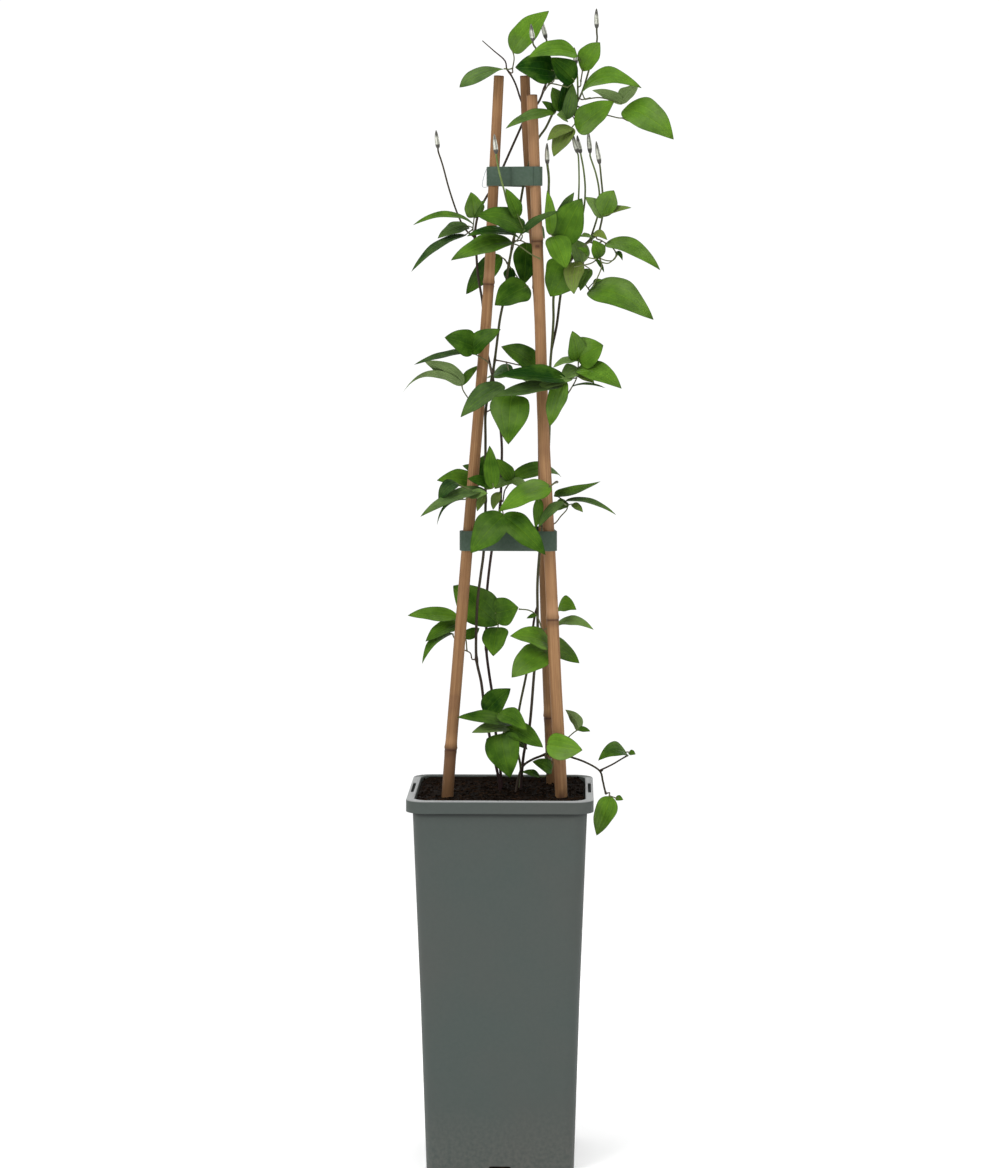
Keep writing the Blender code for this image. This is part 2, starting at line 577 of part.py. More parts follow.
def square_loft(name, rings, colour, height_at=None):
    """Skin over rounded squares given as (half size, height), closed by a fan at each end."""
    verts = []
    for half, z in rings:
        radius = CORNER_RADIUS * half / BODY_TOP_HALF
        verts.extend((x, y, z) for x, y in rounded_square(half, radius))
    count = 4 * CORNER_POINTS
    faces = []
    for row in range(len(rings) - 1):
        for k in range(count):
            a = row * count + k
            b = row * count + (k + 1) % count
            faces.append((a, b, b + count, a + count))
    first = len(verts)
    verts.append((0, 0, rings[0][1]))
    verts.append((0, 0, rings[-1][1]))
    last_row = first - count
    for k in range(count):
        nxt = (k + 1) % count
        faces.append((first, nxt, k))
        faces.append((first + 1, last_row + k, last_row + nxt))
    if height_at is not None:
        verts = [(x, y, z + height_at(x, y, z)) for x, y, z in verts]
    return add_object(name, verts, faces, colour, smooth_angle=35)


def box(name, low, high, colour):
    (x0, y0, z0), (x1, y1, z1) = low, high
    verts = [(x, y, z) for z in (z0, z1) for y in (y0, y1) for x in (x0, x1)]
    faces = [(0, 2, 3, 1), (4, 5, 7, 6), (0, 1, 5, 4), (2, 6, 7, 3), (0, 4, 6, 2), (1, 3, 7, 5)]
    return add_object(name, verts, faces, colour)


def notch_cutter(quarter):
    """A low arch that runs in from one side of the foot."""
    half = NOTCH_WIDTH / 2
    corner = 2.0
    outline = [(-half, -1.0), (half, -1.0)]
    for k in range(4):
        angle = k / 3 * TAU / 4
        outline.append((half - corner + corner * math.cos(angle),
                        NOTCH_HEIGHT - corner + corner * math.sin(angle)))
    outline += [(-x, z) for x, z in reversed(outline[2:])]
    count = len(outline)
    depths = (BODY_FOOT_HALF - NOTCH_DEPTH, BODY_FOOT_HALF + 2.0)
    turn = quarter * TAU / 4
    verts = []
    for depth in depths:
        for along, z in outline:
            verts.append((depth * math.cos(turn) - along * math.sin(turn),
                          depth * math.sin(turn) + along * math.cos(turn), z))
    faces = [tuple(reversed(range(count))), tuple(range(count, 2 * count))]
    faces += [(k, (k + 1) % count, (k + 1) % count + count, k + count) for k in range(count)]
    return add_object("notch_cutter_%d" % quarter, verts, faces, "pot")


def body_half(z):
    """Outer half size of the pot's wall at a height."""
    return float(np.interp(z, (0, BODY_MID_Z, POT_HEIGHT), (BODY_FOOT_HALF, BODY_MID_HALF, BODY_TOP_HALF)))


def make_pot():
    skirt_z = POT_HEIGHT - RIM_DROP
    under = POT_HEIGHT - POT_WALL
    inner = RIM_HALF - SKIRT_WALL
    rings = [
        (BODY_FOOT_HALF - 4, 0), (BODY_FOOT_HALF - 1, 0), (BODY_FOOT_HALF, 1.0),
        (BODY_MID_HALF, BODY_MID_Z), (body_half(under), under),
        (inner, under), (inner, skirt_z), (RIM_HALF - 0.2, skirt_z), (RIM_HALF, skirt_z + 0.6),
        (RIM_HALF, POT_HEIGHT - 0.8), (RIM_HALF - 0.5, POT_HEIGHT),
        (BODY_TOP_HALF - POT_WALL + 0.5, POT_HEIGHT), (BODY_TOP_HALF - POT_WALL, POT_HEIGHT - 0.6),
        (BODY_MID_HALF - POT_WALL, BODY_MID_Z), (body_half(FLOOR) - POT_WALL, FLOOR),
    ]
    pot = square_loft("pot", rings, "pot")
    slot_x = (body_half(POT_HEIGHT) + inner) / 2
    cutters = [notch_cutter(quarter) for quarter in range(4)]
    for side in (-1, 1):
        low = (side * slot_x - SLOT_WIDTH / 2, -SLOT_LENGTH / 2, under - 1)
        high = (side * slot_x + SLOT_WIDTH / 2, SLOT_LENGTH / 2, POT_HEIGHT + 1)
        cutters.append(box("slot_cutter_%d" % side, low, high, "pot"))
    return combine(pot, cutters, "DIFFERENCE")


def soil_bumps(x, y, z):
    """Crumbly unevenness of the soil's top, fading towards the wall; the foot stays flat."""
    if z < SOIL_LEVEL - 1:
        return 0.0
    fade = min(1.0, (BODY_TOP_HALF - max(abs(x), abs(y))) / 12)
    waves = math.sin(0.31 * x + 1.3) * math.cos(0.27 * y) + 0.6 * math.sin(0.73 * x - 0.52 * y)
    return SOIL_BUMP * fade * waves / 1.6


def make_soil(hole_tools):
    foot = body_half(FLOOR) - POT_WALL - GAP
    waist = BODY_MID_HALF - POT_WALL - GAP
    brim = body_half(SOIL_LEVEL) - POT_WALL - GAP
    rings = [(foot, FLOOR + GAP), (waist, BODY_MID_Z), (brim, SOIL_LEVEL)]
    for k in range(1, SOIL_RINGS):
        rings.append((brim * (1 - k / SOIL_RINGS), SOIL_LEVEL))
    soil = square_loft("soil", rings, "soil", soil_bumps)
    return combine(soil, hole_tools, "DIFFERENCE")


def cane_radii(heights, radius, nodes):
    """Slim taper with a swelling at each node."""
    taper = radius - CANE_TAPER * (heights - CANE_FOOT_Z) / 600
    for node in nodes:
        taper = taper + NODE_SWELL * np.exp(-((heights - node) / 3.0) ** 2)
    return taper


def cane_path(points, nodes):
    """Sparse rings along the cane, with extra ones round each node."""
    smooth = smooth_path(points, 4.0)
    top = points[-1][2]
    heights = list(np.linspace(CANE_FOOT_Z, top, 8))
    heights = [z for z in heights if all(abs(z - node) > 14 for node in nodes)]
    for node in nodes:
        heights += [node - 6, node - 2.5, node, node + 2.5, node + 6]
    heights = np.array(sorted(heights))
    path = np.stack([np.interp(heights, smooth[:, 2], smooth[:, k]) for k in range(3)], axis=1)
    return path, heights


def make_cane(name):
    radius, points, nodes = CANES[name]
    path, heights = cane_path(points, nodes)
    verts, faces = tube(path, cane_radii(heights, radius, nodes), CANE_SIDES)
    return add_object(name, verts, faces, "cane", smooth_angle=40)


def hole_tool(name, path, radius, sides):
    """A tube that follows the buried end of a piece, a little wider and deeper."""
    if path[0, 2] > path[-1, 2]:
        path = path[::-1]
    if path[0, 2] > SOIL_LEVEL:
        return None
    above = np.argmax(path[:, 2] > SOIL_LEVEL + 2.5)
    buried = path[:above + 1].copy()
    down = buried[0] - buried[1]
    buried[0] = buried[0] + down / np.linalg.norm(down) * HOLE_CLEARANCE
    verts, faces = tube(buried, radius + HOLE_CLEARANCE, sides)
    return add_object(name + "_hole", verts, faces, "soil")


def cane_at(name, z):
    path, heights = cane_path(*CANES[name][1:])
    return np.array([np.interp(z, heights, path[:, 0]), np.interp(z, heights, path[:, 1])])


def band_outline(z, offset):
    """Tight loop round the three canes at a height: an arc round each, joined by straight runs."""
    centres = [cane_at(name, z) for name in ("cane_left", "cane_right", "cane_back")]
    count = len(centres)
    slimmer = CANE_TAPER * (z - CANE_FOOT_Z) / 600
    radii = [CANES[name][0] - slimmer + offset for name in ("cane_left", "cane_right", "cane_back")]
    normals = []
    for k in range(count):
        run = centres[(k + 1) % count] - centres[k]
        normals.append(math.atan2(-run[0], run[1]))
    points = []
    for k in range(count):
        start = normals[k - 1]
        sweep = (normals[k] - start) % TAU
        for step in range(BAND_ARC_POINTS):
            angle = start + sweep * step / (BAND_ARC_POINTS - 1)
            points.append(centres[k] + radii[k] * np.array([math.cos(angle), math.sin(angle)]))
    return points


def make_band(name):
    low, height = BANDS[name]
    inner_offset = GAP + 0.15
    loops = []
    for z, offset in ((low, inner_offset), (low, inner_offset + BAND_THICKNESS),
                      (low + height, inner_offset + BAND_THICKNESS), (low + height, inner_offset)):
        loops.append([(x, y, z) for x, y in band_outline(z, offset)])
    count = len(loops[0])
    verts = [point for loop in loops for point in loop]
    faces = []
    for row in range(4):
        nxt = (row + 1) % 4
        for k in range(count):
            k2 = (k + 1) % count
            faces.append((row * count + k, row * count + k2, nxt * count + k2, nxt * count + k))
    return add_object(name, verts, faces, "band", smooth_angle=40)


def unit(vector):
    return vector / np.linalg.norm(vector)


def blade_axes(base, tip, face):
    """Directions along and across a blade and out of its upper side.

    The face angle tilts the upper side from straight up, 0, to straight at the front, 90.
    """
    along = unit(tip - base)
    front = np.array([0.0, -1.0, 0.0])
    front = front - along * along.dot(front)
    if np.linalg.norm(front) < 0.15:
        front = np.array([0.0, 0.0, 1.0]) - along * along[2]
    front = unit(front)
    up = np.array([0.0, 0.0, 1.0]) if abs(along[2]) < 0.95 else np.array([1.0, 0.0, 0.0])
    up = unit(up - along * up.dot(along) - front * up.dot(front))
    tilt = math.radians(face)
    out = math.cos(tilt) * up + math.sin(tilt) * front
    return along, np.cross(out, along), out


def blade_profile(u, widest):
    """Half width of an egg-shaped, pointed blade along its length, 1 at its widest."""
    low = TIP_POWER * widest / (1 - widest)
    peak = widest ** low * (1 - widest) ** TIP_POWER
    return u ** low * (1 - u) ** TIP_POWER / peak


def blade_midrib(base, tip, face, arch, u):
    """Points at shares u of the length of a blade's arched midrib."""
    out = blade_axes(base, tip, face)[2]
    rise = arch * np.linalg.norm(tip - base) * 4 * u * (1 - u)
    return base + np.outer(u, tip - base) + np.outer(rise, out)


def make_blade(base, tip, width, face, arch, widest=WIDEST):
    """A closed blade: base point, rows of edge, midrib and edge, tip point, upper then lower side."""
    along, across, out = blade_axes(base, tip, face)
    u = np.array(BLADE_STEPS if width > NARROW else NARROW_STEPS)
    rows = len(u)
    midrib = blade_midrib(base, tip, face, arch, u)
    half = width / 2 * blade_profile(u, widest)
    slope = 4 * arch * (1 - 2 * u)
    normal = out - np.outer(slope, along)
    normal = normal / np.linalg.norm(normal, axis=1)[:, None]
    sheet = [midrib[0]]
    normals = [normal[0]]
    for row in range(1, rows - 1):
        for v in (-1, 0, 1):
            lift = BLADE_FOLD * half[row] * abs(v)
            sheet.append(midrib[row] + v * half[row] * across + lift * out)
            normals.append(unit(normal[row] - 0.8 * BLADE_FOLD * v * across))
    sheet.append(midrib[-1])
    normals.append(normal[-1])
    sheet, normals = np.array(sheet), np.array(normals)
    count = len(sheet)
    verts = np.vstack([sheet + normals * BLADE_THICKNESS / 2, sheet - normals * BLADE_THICKNESS / 2])
    upper = [(0, 1, 2), (0, 2, 3)]
    for row in range(rows - 3):
        a = 1 + 3 * row
        for k in (a, a + 1):
            upper += [(k, k + 3, k + 4), (k, k + 4, k + 1)]
    end = count - 1
    upper += [(end - 3, end, end - 2), (end - 2, end, end - 1)]
    faces = upper + [tuple(k + count for k in reversed(face)) for face in upper]
    left = [0] + list(range(1, end, 3)) + [end]
    right = [0] + list(range(3, end, 3)) + [end]
    for a, b in zip(left[:-1], left[1:]):
        faces += [(b, a, a + count), (b, a + count, b + count)]
    for a, b in zip(right[:-1], right[1:]):
        faces += [(a, b, b + count), (a, b + count, a + count)]
    return verts, faces


class Stem:
    """Centre lines of one climbing stem and its branches, which its stalks and leaves find."""

    def __init__(self, name):
        self.name = name
        self.lines = []

    def add(self, path, radii):
        for a, b, ra, rb in zip(path[:-1], path[1:], radii[:-1], radii[1:]):
            for t in np.linspace(0, 1, 8, endpoint=False):
                self.lines.append((*(a + (b - a) * t), ra + (rb - ra) * t, *unit(b - a)))

    def nearest(self, point):
        lines = np.array(self.lines)
        k = np.argmin(np.linalg.norm(lines[:, :3] - point, axis=1))
        return lines[k, :3], lines[k, 3], lines[k, 4:]


def tube_piece(name, points, radius_start, radius_end, sides, step, colour="stem", root=None):
    """A tube along a smoothed path, after a straight start from the root where one is given."""
    path = smooth_path(points, step)
    if root is not None:
        path = np.vstack([root, path])
    radii = np.linspace(radius_start, radius_end, len(path))
    verts, faces = tube(path, radii, sides)
    return add_object(name, verts, faces, colour), path, radii


def straight_end(points, tip):
    """Turn the last stretch of a stalk into line with the bud that it carries."""
    points = [np.array(point, float) for point in points]
    axis = unit(np.array(tip, float) - points[-1])
    return points[:-1] + [points[-1] - 2.5 * axis, points[-1]]


def make_bud(name, foot, axis, length):
    """Slim closed bud: a small cup at the foot, then a spindle that ends in a point."""
    profile = ((0.0, 0.55), (0.10, 0.95), (0.22, 1.0), (0.55, 0.92), (0.80, 0.55), (1.0, 0.16))
    path = np.array([foot + axis * (GAP + 0.2 + length * u) for u, _ in profile])
    radii = [BUD_RADIUS * r for _, r in profile]
    verts, faces = tube(path, radii, 6)
    return add_object(name, verts, faces, "bud", smooth_angle=50)


def make_stems():
    """Every stem with its bud stalks in one body; returns the stems and the soil's hole cutters."""
    stems, holes = {}, []
    for name, branches in STEMS.items():
        stem = Stem(name)
        pieces = []
        for number, (start, end, points) in enumerate(branches):
            points = np.array(points, float)
            if number:
                points[0] = stem.nearest(points[0])[0]
            label = "%s_%d" % (name, number)
            step = STEM_STEP if number == 0 else BRANCH_STEP
            piece, path, radii = tube_piece(label, points, start, end, STEM_SIDES, step)
            stem.add(path, radii)
            pieces.append(piece)
            tool = hole_tool(label, path, start + 0.15, 8)
            if tool is not None:
                holes.append(tool)
        stems[name] = stem
        stem.end = np.array(branches[0][2][-1], float)
        for number, (owner, tip, points) in enumerate(BUDS, 1):
            if owner != name:
                continue
            if points:
                points = straight_end(points, tip)
                points[0] = stem.nearest(points[0])[0]
                label = "%s_stalk_%d" % (name, number)
                piece, path, radii = tube_piece(label, points, 0.6, 0.5, STEM_SIDES, BRANCH_STEP)
                stem.add(path, radii)
                pieces.append(piece)
                foot = path[-1]
            else:
                foot = stem.end
            reach = np.array(tip, float) - foot
            make_bud("bud_%02d" % number, foot, unit(reach), np.linalg.norm(reach))
        pieces[0].name = name
        combine(pieces[0], pieces[1:], "UNION")
    return stems, holes


def make_spray(name, stems):
    """Stalks that start just clear of their stem, with the blades they carry, in one body."""
    owner, stalks, leaves = SPRAYS[name]
    pieces = []
    spray = Stem(name)

    def add_stalk(points, root=None):
        piece, path, radii = tube_piece("%s_stalk_%d" % (name, len(pieces)), points, STALK_RADIUS,
                                        STALK_RADIUS, STALK_SIDES, STALK_STEP, "leaf", root)
        spray.add(path, radii)
        pieces.append(piece)

    for number, points in enumerate(stalks):
        points = [np.array(point, float) for point in points]
        if number == 0:
            centre, radius, along = stems[owner].nearest(points[0])
            away = points[1] - centre
            away = unit(away - along * away.dot(along))
            root = centre + away * (radius + GAP + 0.1)
            add_stalk([root + away * 1.5] + points[1:], root)
        else:
            add_stalk([spray.nearest(points[0])[0]] + points[1:])
    for number, (base, tip, *shape) in enumerate(leaves):
        base, tip = np.array(base, float), np.array(tip, float)
        root = spray.nearest(base)[0]
        if np.linalg.norm(base - root) < LEAF_REACH:
            base = root - LEAF_SINK * unit(tip - root)
        else:
            face, arch = shape[1:3]
            add_stalk([root, base, blade_midrib(base, tip, face, arch, np.array([0.12]))[0]])
        verts, faces = make_blade(base, tip, *shape)
        pieces.append(add_object("%s_blade_%d" % (name, number), verts, faces, "leaf"))
    pieces[0].name = name
    combine(pieces[0], pieces[1:], "UNION", "MANIFOLD")


def main():
    clear_scene()
    make_pot()
    holes = []
    for name, (radius, points, nodes) in CANES.items():
        make_cane(name)
        path, heights = cane_path(points, nodes)
        holes.append(hole_tool(name, path, radius + NODE_SWELL, CANE_SIDES))
    for name in BANDS:
        make_band(name)
    stems, stem_holes = make_stems()
    make_soil(holes + stem_holes)
    for name in SPRAYS:
        make_spray(name, stems)


main()
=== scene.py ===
# %% [markdown]
# # A potted clematis on a wigwam of bamboo canes
# A young climbing plant stands in a tall square plastic pot. Three bamboo canes lean together above
# it, two flat plastic bands hold them, and thin dark stems carry leaves in tiers and closed buds.
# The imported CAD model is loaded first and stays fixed. Each piece below takes the place of one of
# its solids and is drawn at the same place with finer form.

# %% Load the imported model
import math

import bpy
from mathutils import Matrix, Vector
import numpy as np


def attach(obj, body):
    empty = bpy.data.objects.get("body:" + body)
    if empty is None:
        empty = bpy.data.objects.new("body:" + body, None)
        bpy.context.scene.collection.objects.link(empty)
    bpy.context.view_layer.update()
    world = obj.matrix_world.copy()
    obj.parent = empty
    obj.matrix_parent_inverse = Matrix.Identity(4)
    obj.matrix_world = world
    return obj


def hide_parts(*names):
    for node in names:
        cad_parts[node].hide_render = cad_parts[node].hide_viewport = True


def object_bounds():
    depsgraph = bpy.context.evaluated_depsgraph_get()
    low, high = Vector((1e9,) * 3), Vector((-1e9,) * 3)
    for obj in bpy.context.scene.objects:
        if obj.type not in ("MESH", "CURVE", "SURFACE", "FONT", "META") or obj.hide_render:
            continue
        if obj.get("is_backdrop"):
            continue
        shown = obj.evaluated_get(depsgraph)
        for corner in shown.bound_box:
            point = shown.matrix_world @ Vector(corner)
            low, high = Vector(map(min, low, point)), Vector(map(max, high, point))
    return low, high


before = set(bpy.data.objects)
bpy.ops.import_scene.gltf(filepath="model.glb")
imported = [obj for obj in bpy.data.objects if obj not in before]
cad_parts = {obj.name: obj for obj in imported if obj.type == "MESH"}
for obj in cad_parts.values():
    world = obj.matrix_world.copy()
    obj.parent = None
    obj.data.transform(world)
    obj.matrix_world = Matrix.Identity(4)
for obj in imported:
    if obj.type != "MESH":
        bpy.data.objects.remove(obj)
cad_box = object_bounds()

MM = 0.001
TAU = 2 * math.pi


def add_object(name, data):
    """A new object with that data, in the scene."""
    thing = bpy.data.objects.new(name, data)
    bpy.context.scene.collection.objects.link(thing)
    return thing


print("CAD box in metres:", [[round(float(c), 4) for c in corner] for corner in cad_box])

# %% [markdown]
# ## Camera
# The plant was photographed from two metres away with a long lens, a little above its middle and
# looking slightly down. A long lens keeps the canes nearly parallel. The place and the angles were
# worked out from the pot's rim, so the camera is set by numbers and not aimed at a target.

# %% Camera
camera_data = bpy.data.cameras.new("photo_camera")
camera_data.lens = 100.0
camera_data.sensor_width = 36.0
camera = add_object("photo_camera", camera_data)
camera.location = (0.0462, -2.0665, 0.5523)
LOOK_DOWN, LOOK_LEFT = 0.0873, 0.0228   # radians
camera.rotation_euler = (math.pi / 2 - LOOK_DOWN, 0.0, LOOK_LEFT)
bpy.context.scene.camera = camera
print("camera lens %.0f mm, %.2f m from the pot" % (camera_data.lens, camera.location.length))

# %% [markdown]
# ## Building blocks
# Every surface here is a grid of points: rows follow one direction and columns the other. Most are
# closed round the columns, like a tube, and end in a single point at each end. One class gathers such
# patches with the values painted on them, and makes the mesh at the end. Painted values are stored
# on the points: "lay" says where a point lies on its own surface, "tone" is lightness, "mark" is a spot.

# %% Grids of faces
def ring_faces(rows, cols):
    """Quads between neighbouring rows; the last column joins the first."""
    row = np.arange(rows - 1)[:, None] * cols
    a = row + np.arange(cols)[None, :]
    b = row + (np.arange(cols) + 1)[None, :] % cols
    return np.stack([a, b, b + cols, a + cols], axis=-1).reshape(-1, 4)


def cap_faces(rows, cols):
    """Triangles from the first row to the point after the grid, and from the last row to the next one."""
    k = np.arange(cols)
    following = (k + 1) % cols
    first, end = rows * cols, (rows - 1) * cols
    foot = np.stack([np.full(cols, first), following, k], axis=1)
    top = np.stack([np.full(cols, first + 1), k + end, following + end], axis=1)
    return np.vstack([foot, top])


# %% A piece and its painted values
class Piece:
    """Points in millimetres, faces and painted values, gathered patch by patch."""

    def __init__(self):
        self.points, self.faces, self.slots = [], [], []
        self.painted = {"lay": [], "tone": [], "mark": []}
        self.count = 0

    def add(self, points, faces, lay=(0.0, 0.0, 0.0), tone=0.5, mark=0.0, slot=0):
        """One patch; faces is a list of index arrays that count from the patch's first point."""
        points = np.asarray(points, float).reshape(-1, 3)
        self.points.append(points)
        for block in faces:
            self.faces += (block + self.count).tolist()
            self.slots += [slot] * len(block)
        self.painted["lay"].append(np.broadcast_to(lay, points.shape))
        self.painted["tone"].append(np.broadcast_to(tone, len(points)))
        self.painted["mark"].append(np.broadcast_to(mark, len(points)))
        self.count += len(points)

    def build(self, name, finishes, slot, nodes=None, sharp=45):
        """Make the mesh in metres, at the origin, standing for the CAD nodes of the same name."""
        mesh = bpy.data.meshes.new(name)
        mesh.from_pydata((np.vstack(self.points) * MM).tolist(), [], self.faces)
        for label, kind, field in (("lay", "FLOAT_VECTOR", "vector"), ("tone", "FLOAT", "value"),
                                   ("mark", "FLOAT", "value")):
            values = np.concatenate(self.painted[label]).astype(np.float32)
            mesh.attributes.new(label, kind, "POINT").data.foreach_set(field, values.ravel())
        for finish in finishes:
            mesh.materials.append(finish)
        mesh.polygons.foreach_set("material_index", np.array(self.slots, np.int32))
        smooth_faces(mesh, sharp)
        return dress(add_object(name + "_dressed", mesh), nodes or [name])


def smooth_faces(mesh, sharp):
    """Smooth shading that stops at edges sharper than that many degrees."""
    mesh.shade_smooth()
    mesh.set_sharp_from_angle(angle=math.radians(sharp))


def dress(thing, nodes):
    """Say what a finished piece rides on and what it stands for."""
    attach(thing, "root")
    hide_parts(*nodes)
    return thing


def triangles(thing):
    """How many triangles a mesh makes."""
    return sum(len(face.vertices) - 2 for face in thing.data.polygons)


# %% Paths and skins
def unit(vectors):
    """The same directions with length one."""
    return vectors / np.linalg.norm(vectors, axis=-1, keepdims=True)


def smooth_path(points, step):
    """Even points on the Catmull-Rom curve through the given ones."""
    points = np.asarray(points, float)
    ends = np.vstack([2 * points[0] - points[1], points, 2 * points[-1] - points[-2]])
    a, b, c, d = ends[:-3, None], ends[1:-2, None], ends[2:-1, None], ends[3:, None]
    t = np.linspace(0, 1, 12, endpoint=False)[None, :, None]
    dense = 0.5 * (2 * b + (c - a) * t + (2 * a - 5 * b + 4 * c - d) * t ** 2
                   + (3 * b - a - 3 * c + d) * t ** 3)
    dense = np.vstack([dense.reshape(-1, 3), points[-1:]])
    run = path_lengths(dense)
    at = np.linspace(0, run[-1], max(3, round(run[-1] / step) + 1))
    return np.stack([np.interp(at, run, dense[:, k]) for k in range(3)], axis=1)


def path_lengths(path):
    """Distance along the path at each of its points."""
    return np.r_[0, np.cumsum(np.linalg.norm(np.diff(path, axis=0), axis=1))]


def path_frames(path):
    """Two unit vectors across the path at each point; the first is square to the path's plane."""
    along = unit(np.gradient(path, axis=0))
    plane = np.linalg.svd(path - path.mean(axis=0), full_matrices=False)[2][-1]
    side = unit(plane - along * (along @ plane)[:, None])
    return side, np.cross(along, side)


def angles(sides):
    """Even angles once round."""
    return np.arange(sides) / sides * TAU


def skin(centres, side, across, radii, sides):
    """Points centre + radius * (cos a * side + sin a * across) for angles a round each centre."""
    a = angles(sides)
    radii = np.broadcast_to(radii, (len(centres), sides))[..., None]
    ring = np.cos(a)[None, :, None] * side[:, None] + np.sin(a)[None, :, None] * across[:, None]
    return centres[:, None] + radii * ring


def round_lay(sides, run):
    """Lay of a tube: cosine and sine of the angle round it, then the distance along it."""
    a = angles(sides)
    return np.stack(np.broadcast_arrays(np.cos(a)[None], np.sin(a)[None], run[:, None]), axis=-1)


def add_skin(piece, grid, ends, lay, end_lay=None, **values):
    """Add a grid that is closed round its columns, with one point past each end of it."""
    rows, cols = grid.shape[:2]
    end_lay = (lay[0, 0], lay[-1, 0]) if end_lay is None else end_lay
    piece.add(np.vstack([grid.reshape(-1, 3), *ends]), [ring_faces(rows, cols), cap_faces(rows, cols)],
              np.vstack([lay.reshape(-1, 3), *end_lay]), **values)


def add_tube(piece, path, radii, sides=8, tone=0.5, mark=0.0, slot=0):
    """A closed round skin along a path. Radius, tone and mark may be one value or one for each ring."""
    path, radii = np.asarray(path, float), np.asarray(radii, float)
    side, across = path_frames(path)
    if radii.ndim == 1:
        radii = radii[:, None]
    tone, mark = (np.repeat(np.broadcast_to(value, len(path)), sides) for value in (tone, mark))
    tone, mark = (np.r_[value, value[0], value[-1]] for value in (tone, mark))
    add_skin(piece, skin(path, side, across, radii, sides), (path[0], path[-1]),
             round_lay(sides, path_lengths(path)), tone=tone, mark=mark, slot=slot)


# %% [markdown]
# ## Shared shader groups
# Natural and moulded surfaces differ in pattern but share a few effects: soft blotches, fine grain and
# long streaks. Each effect is a node group that puts out one value, so a material can use it for
# colour, roughness or bump with its own numbers, and the shader itself stays in the material.

# %% Node helpers
def add_node(tree, kind, inputs=(), **settings):
    """A node with its settings; each input is a number to set or a socket to link."""
    node = tree.nodes.new(kind)
    for key, value in settings.items():
        setattr(node, key, value)
    for key, value in dict(inputs).items():
        if isinstance(value, bpy.types.NodeSocket):
            tree.links.new(value, node.inputs[key])
        else:
            node.inputs[key].default_value = value
    return node


def calculate(tree, operation, first, second=0.0, clamp=False):
    """What one Math node puts out."""
    return add_node(tree, "ShaderNodeMath", {0: first, 1: second}, operation=operation,
                    use_clamp=clamp).outputs[0]


def add_part(tree, value, part, amount):
    """value + amount * part."""
    return calculate(tree, "ADD", value, calculate(tree, "MULTIPLY", part, amount))


def remap(tree, value, low, high, to_low=0.0, to_high=1.0, smooth=False):
    """Stretch the range low to high over to_low to to_high, and hold it there beyond."""
    kind = "SMOOTHSTEP" if smooth else "LINEAR"
    return add_node(tree, "ShaderNodeMapRange", {"Value": value, "From Min": low, "From Max": high,
                                                 "To Min": to_low, "To Max": to_high},
                    interpolation_type=kind).outputs["Result"]


def noise(tree, vector, scale, detail, roughness=0.5):
    """Noise at those coordinates, around a half."""
    return add_node(tree, "ShaderNodeTexNoise", {"Vector": vector, "Scale": scale, "Detail": detail,
                                                 "Roughness": roughness}).outputs[0]


def mix_colours(tree, share, first, second):
    """First colour where share is 0, second where it is 1."""
    colours = [(*c, 1.0) if isinstance(c, tuple) and len(c) == 3 else c for c in (first, second)]
    return add_node(tree, "ShaderNodeMix", {0: share, 6: colours[0], 7: colours[1]},
                    data_type="RGBA").outputs[2]


def tint(tree, colour, share, amount, shade):
    """The colour with a shade laid over it: none where share is 0, the given amount where it is 1."""
    return mix_colours(tree, calculate(tree, "MULTIPLY", share, amount), colour, shade)


def painted(tree, name, field="Fac"):
    """The value painted on the points under that name."""
    return add_node(tree, "ShaderNodeAttribute", attribute_name=name).outputs[field]


def painted_lay(tree):
    """The three numbers of the painted lay."""
    return add_node(tree, "ShaderNodeSeparateXYZ", {0: painted(tree, "lay", "Vector")}).outputs


def new_group(name, inputs):
    """A group with the named inputs and one output, Value."""
    group = bpy.data.node_groups.new(name, "ShaderNodeTree")
    for label, kind, value in inputs:
        socket = group.interface.new_socket(label, in_out="INPUT", socket_type=kind)
        if value is not None:
            socket.default_value = value
    group.interface.new_socket("Value", in_out="OUTPUT", socket_type="NodeSocketFloat")
    return group, group.nodes.new("NodeGroupInput").outputs, group.nodes.new("NodeGroupOutput")


def place(tree, group, **inputs):
    """Place a group in a material and set or link its inputs; returns its value."""
    node = add_node(tree, "ShaderNodeGroup", node_tree=group)
    for key, value in inputs.items():
        socket = node.inputs[key.replace("_", " ")]
        if isinstance(value, bpy.types.NodeSocket):
            tree.links.new(value, socket)
        else:
            socket.default_value = value
    return node.outputs["Value"]


# %% Blotches, grain and streaks
def make_blotches():
    """Soft noise stretched to the full range: patches of damp, dust or tone."""
    group, given, out = new_group("blotches", [("Vector", "NodeSocketVector", None),
                                               ("Scale", "NodeSocketFloat", 30.0),
                                               ("Detail", "NodeSocketFloat", 3.0)])
    waves = noise(group, given["Vector"], given["Scale"], given["Detail"])
    group.links.new(remap(group, waves, 0.33, 0.67), out.inputs["Value"])
    return group


def make_grain():
    """Two sizes of fine noise added up, for the height of a bump."""
    group, given, out = new_group("grain", [("Vector", "NodeSocketVector", None),
                                            ("Scale", "NodeSocketFloat", 800.0)])
    fine = noise(group, given["Vector"], given["Scale"], 2.0)
    coarse = noise(group, given["Vector"], calculate(group, "MULTIPLY", given["Scale"], 0.23), 3.0)
    group.links.new(add_part(group, coarse, fine, 0.4), out.inputs["Value"])
    return group


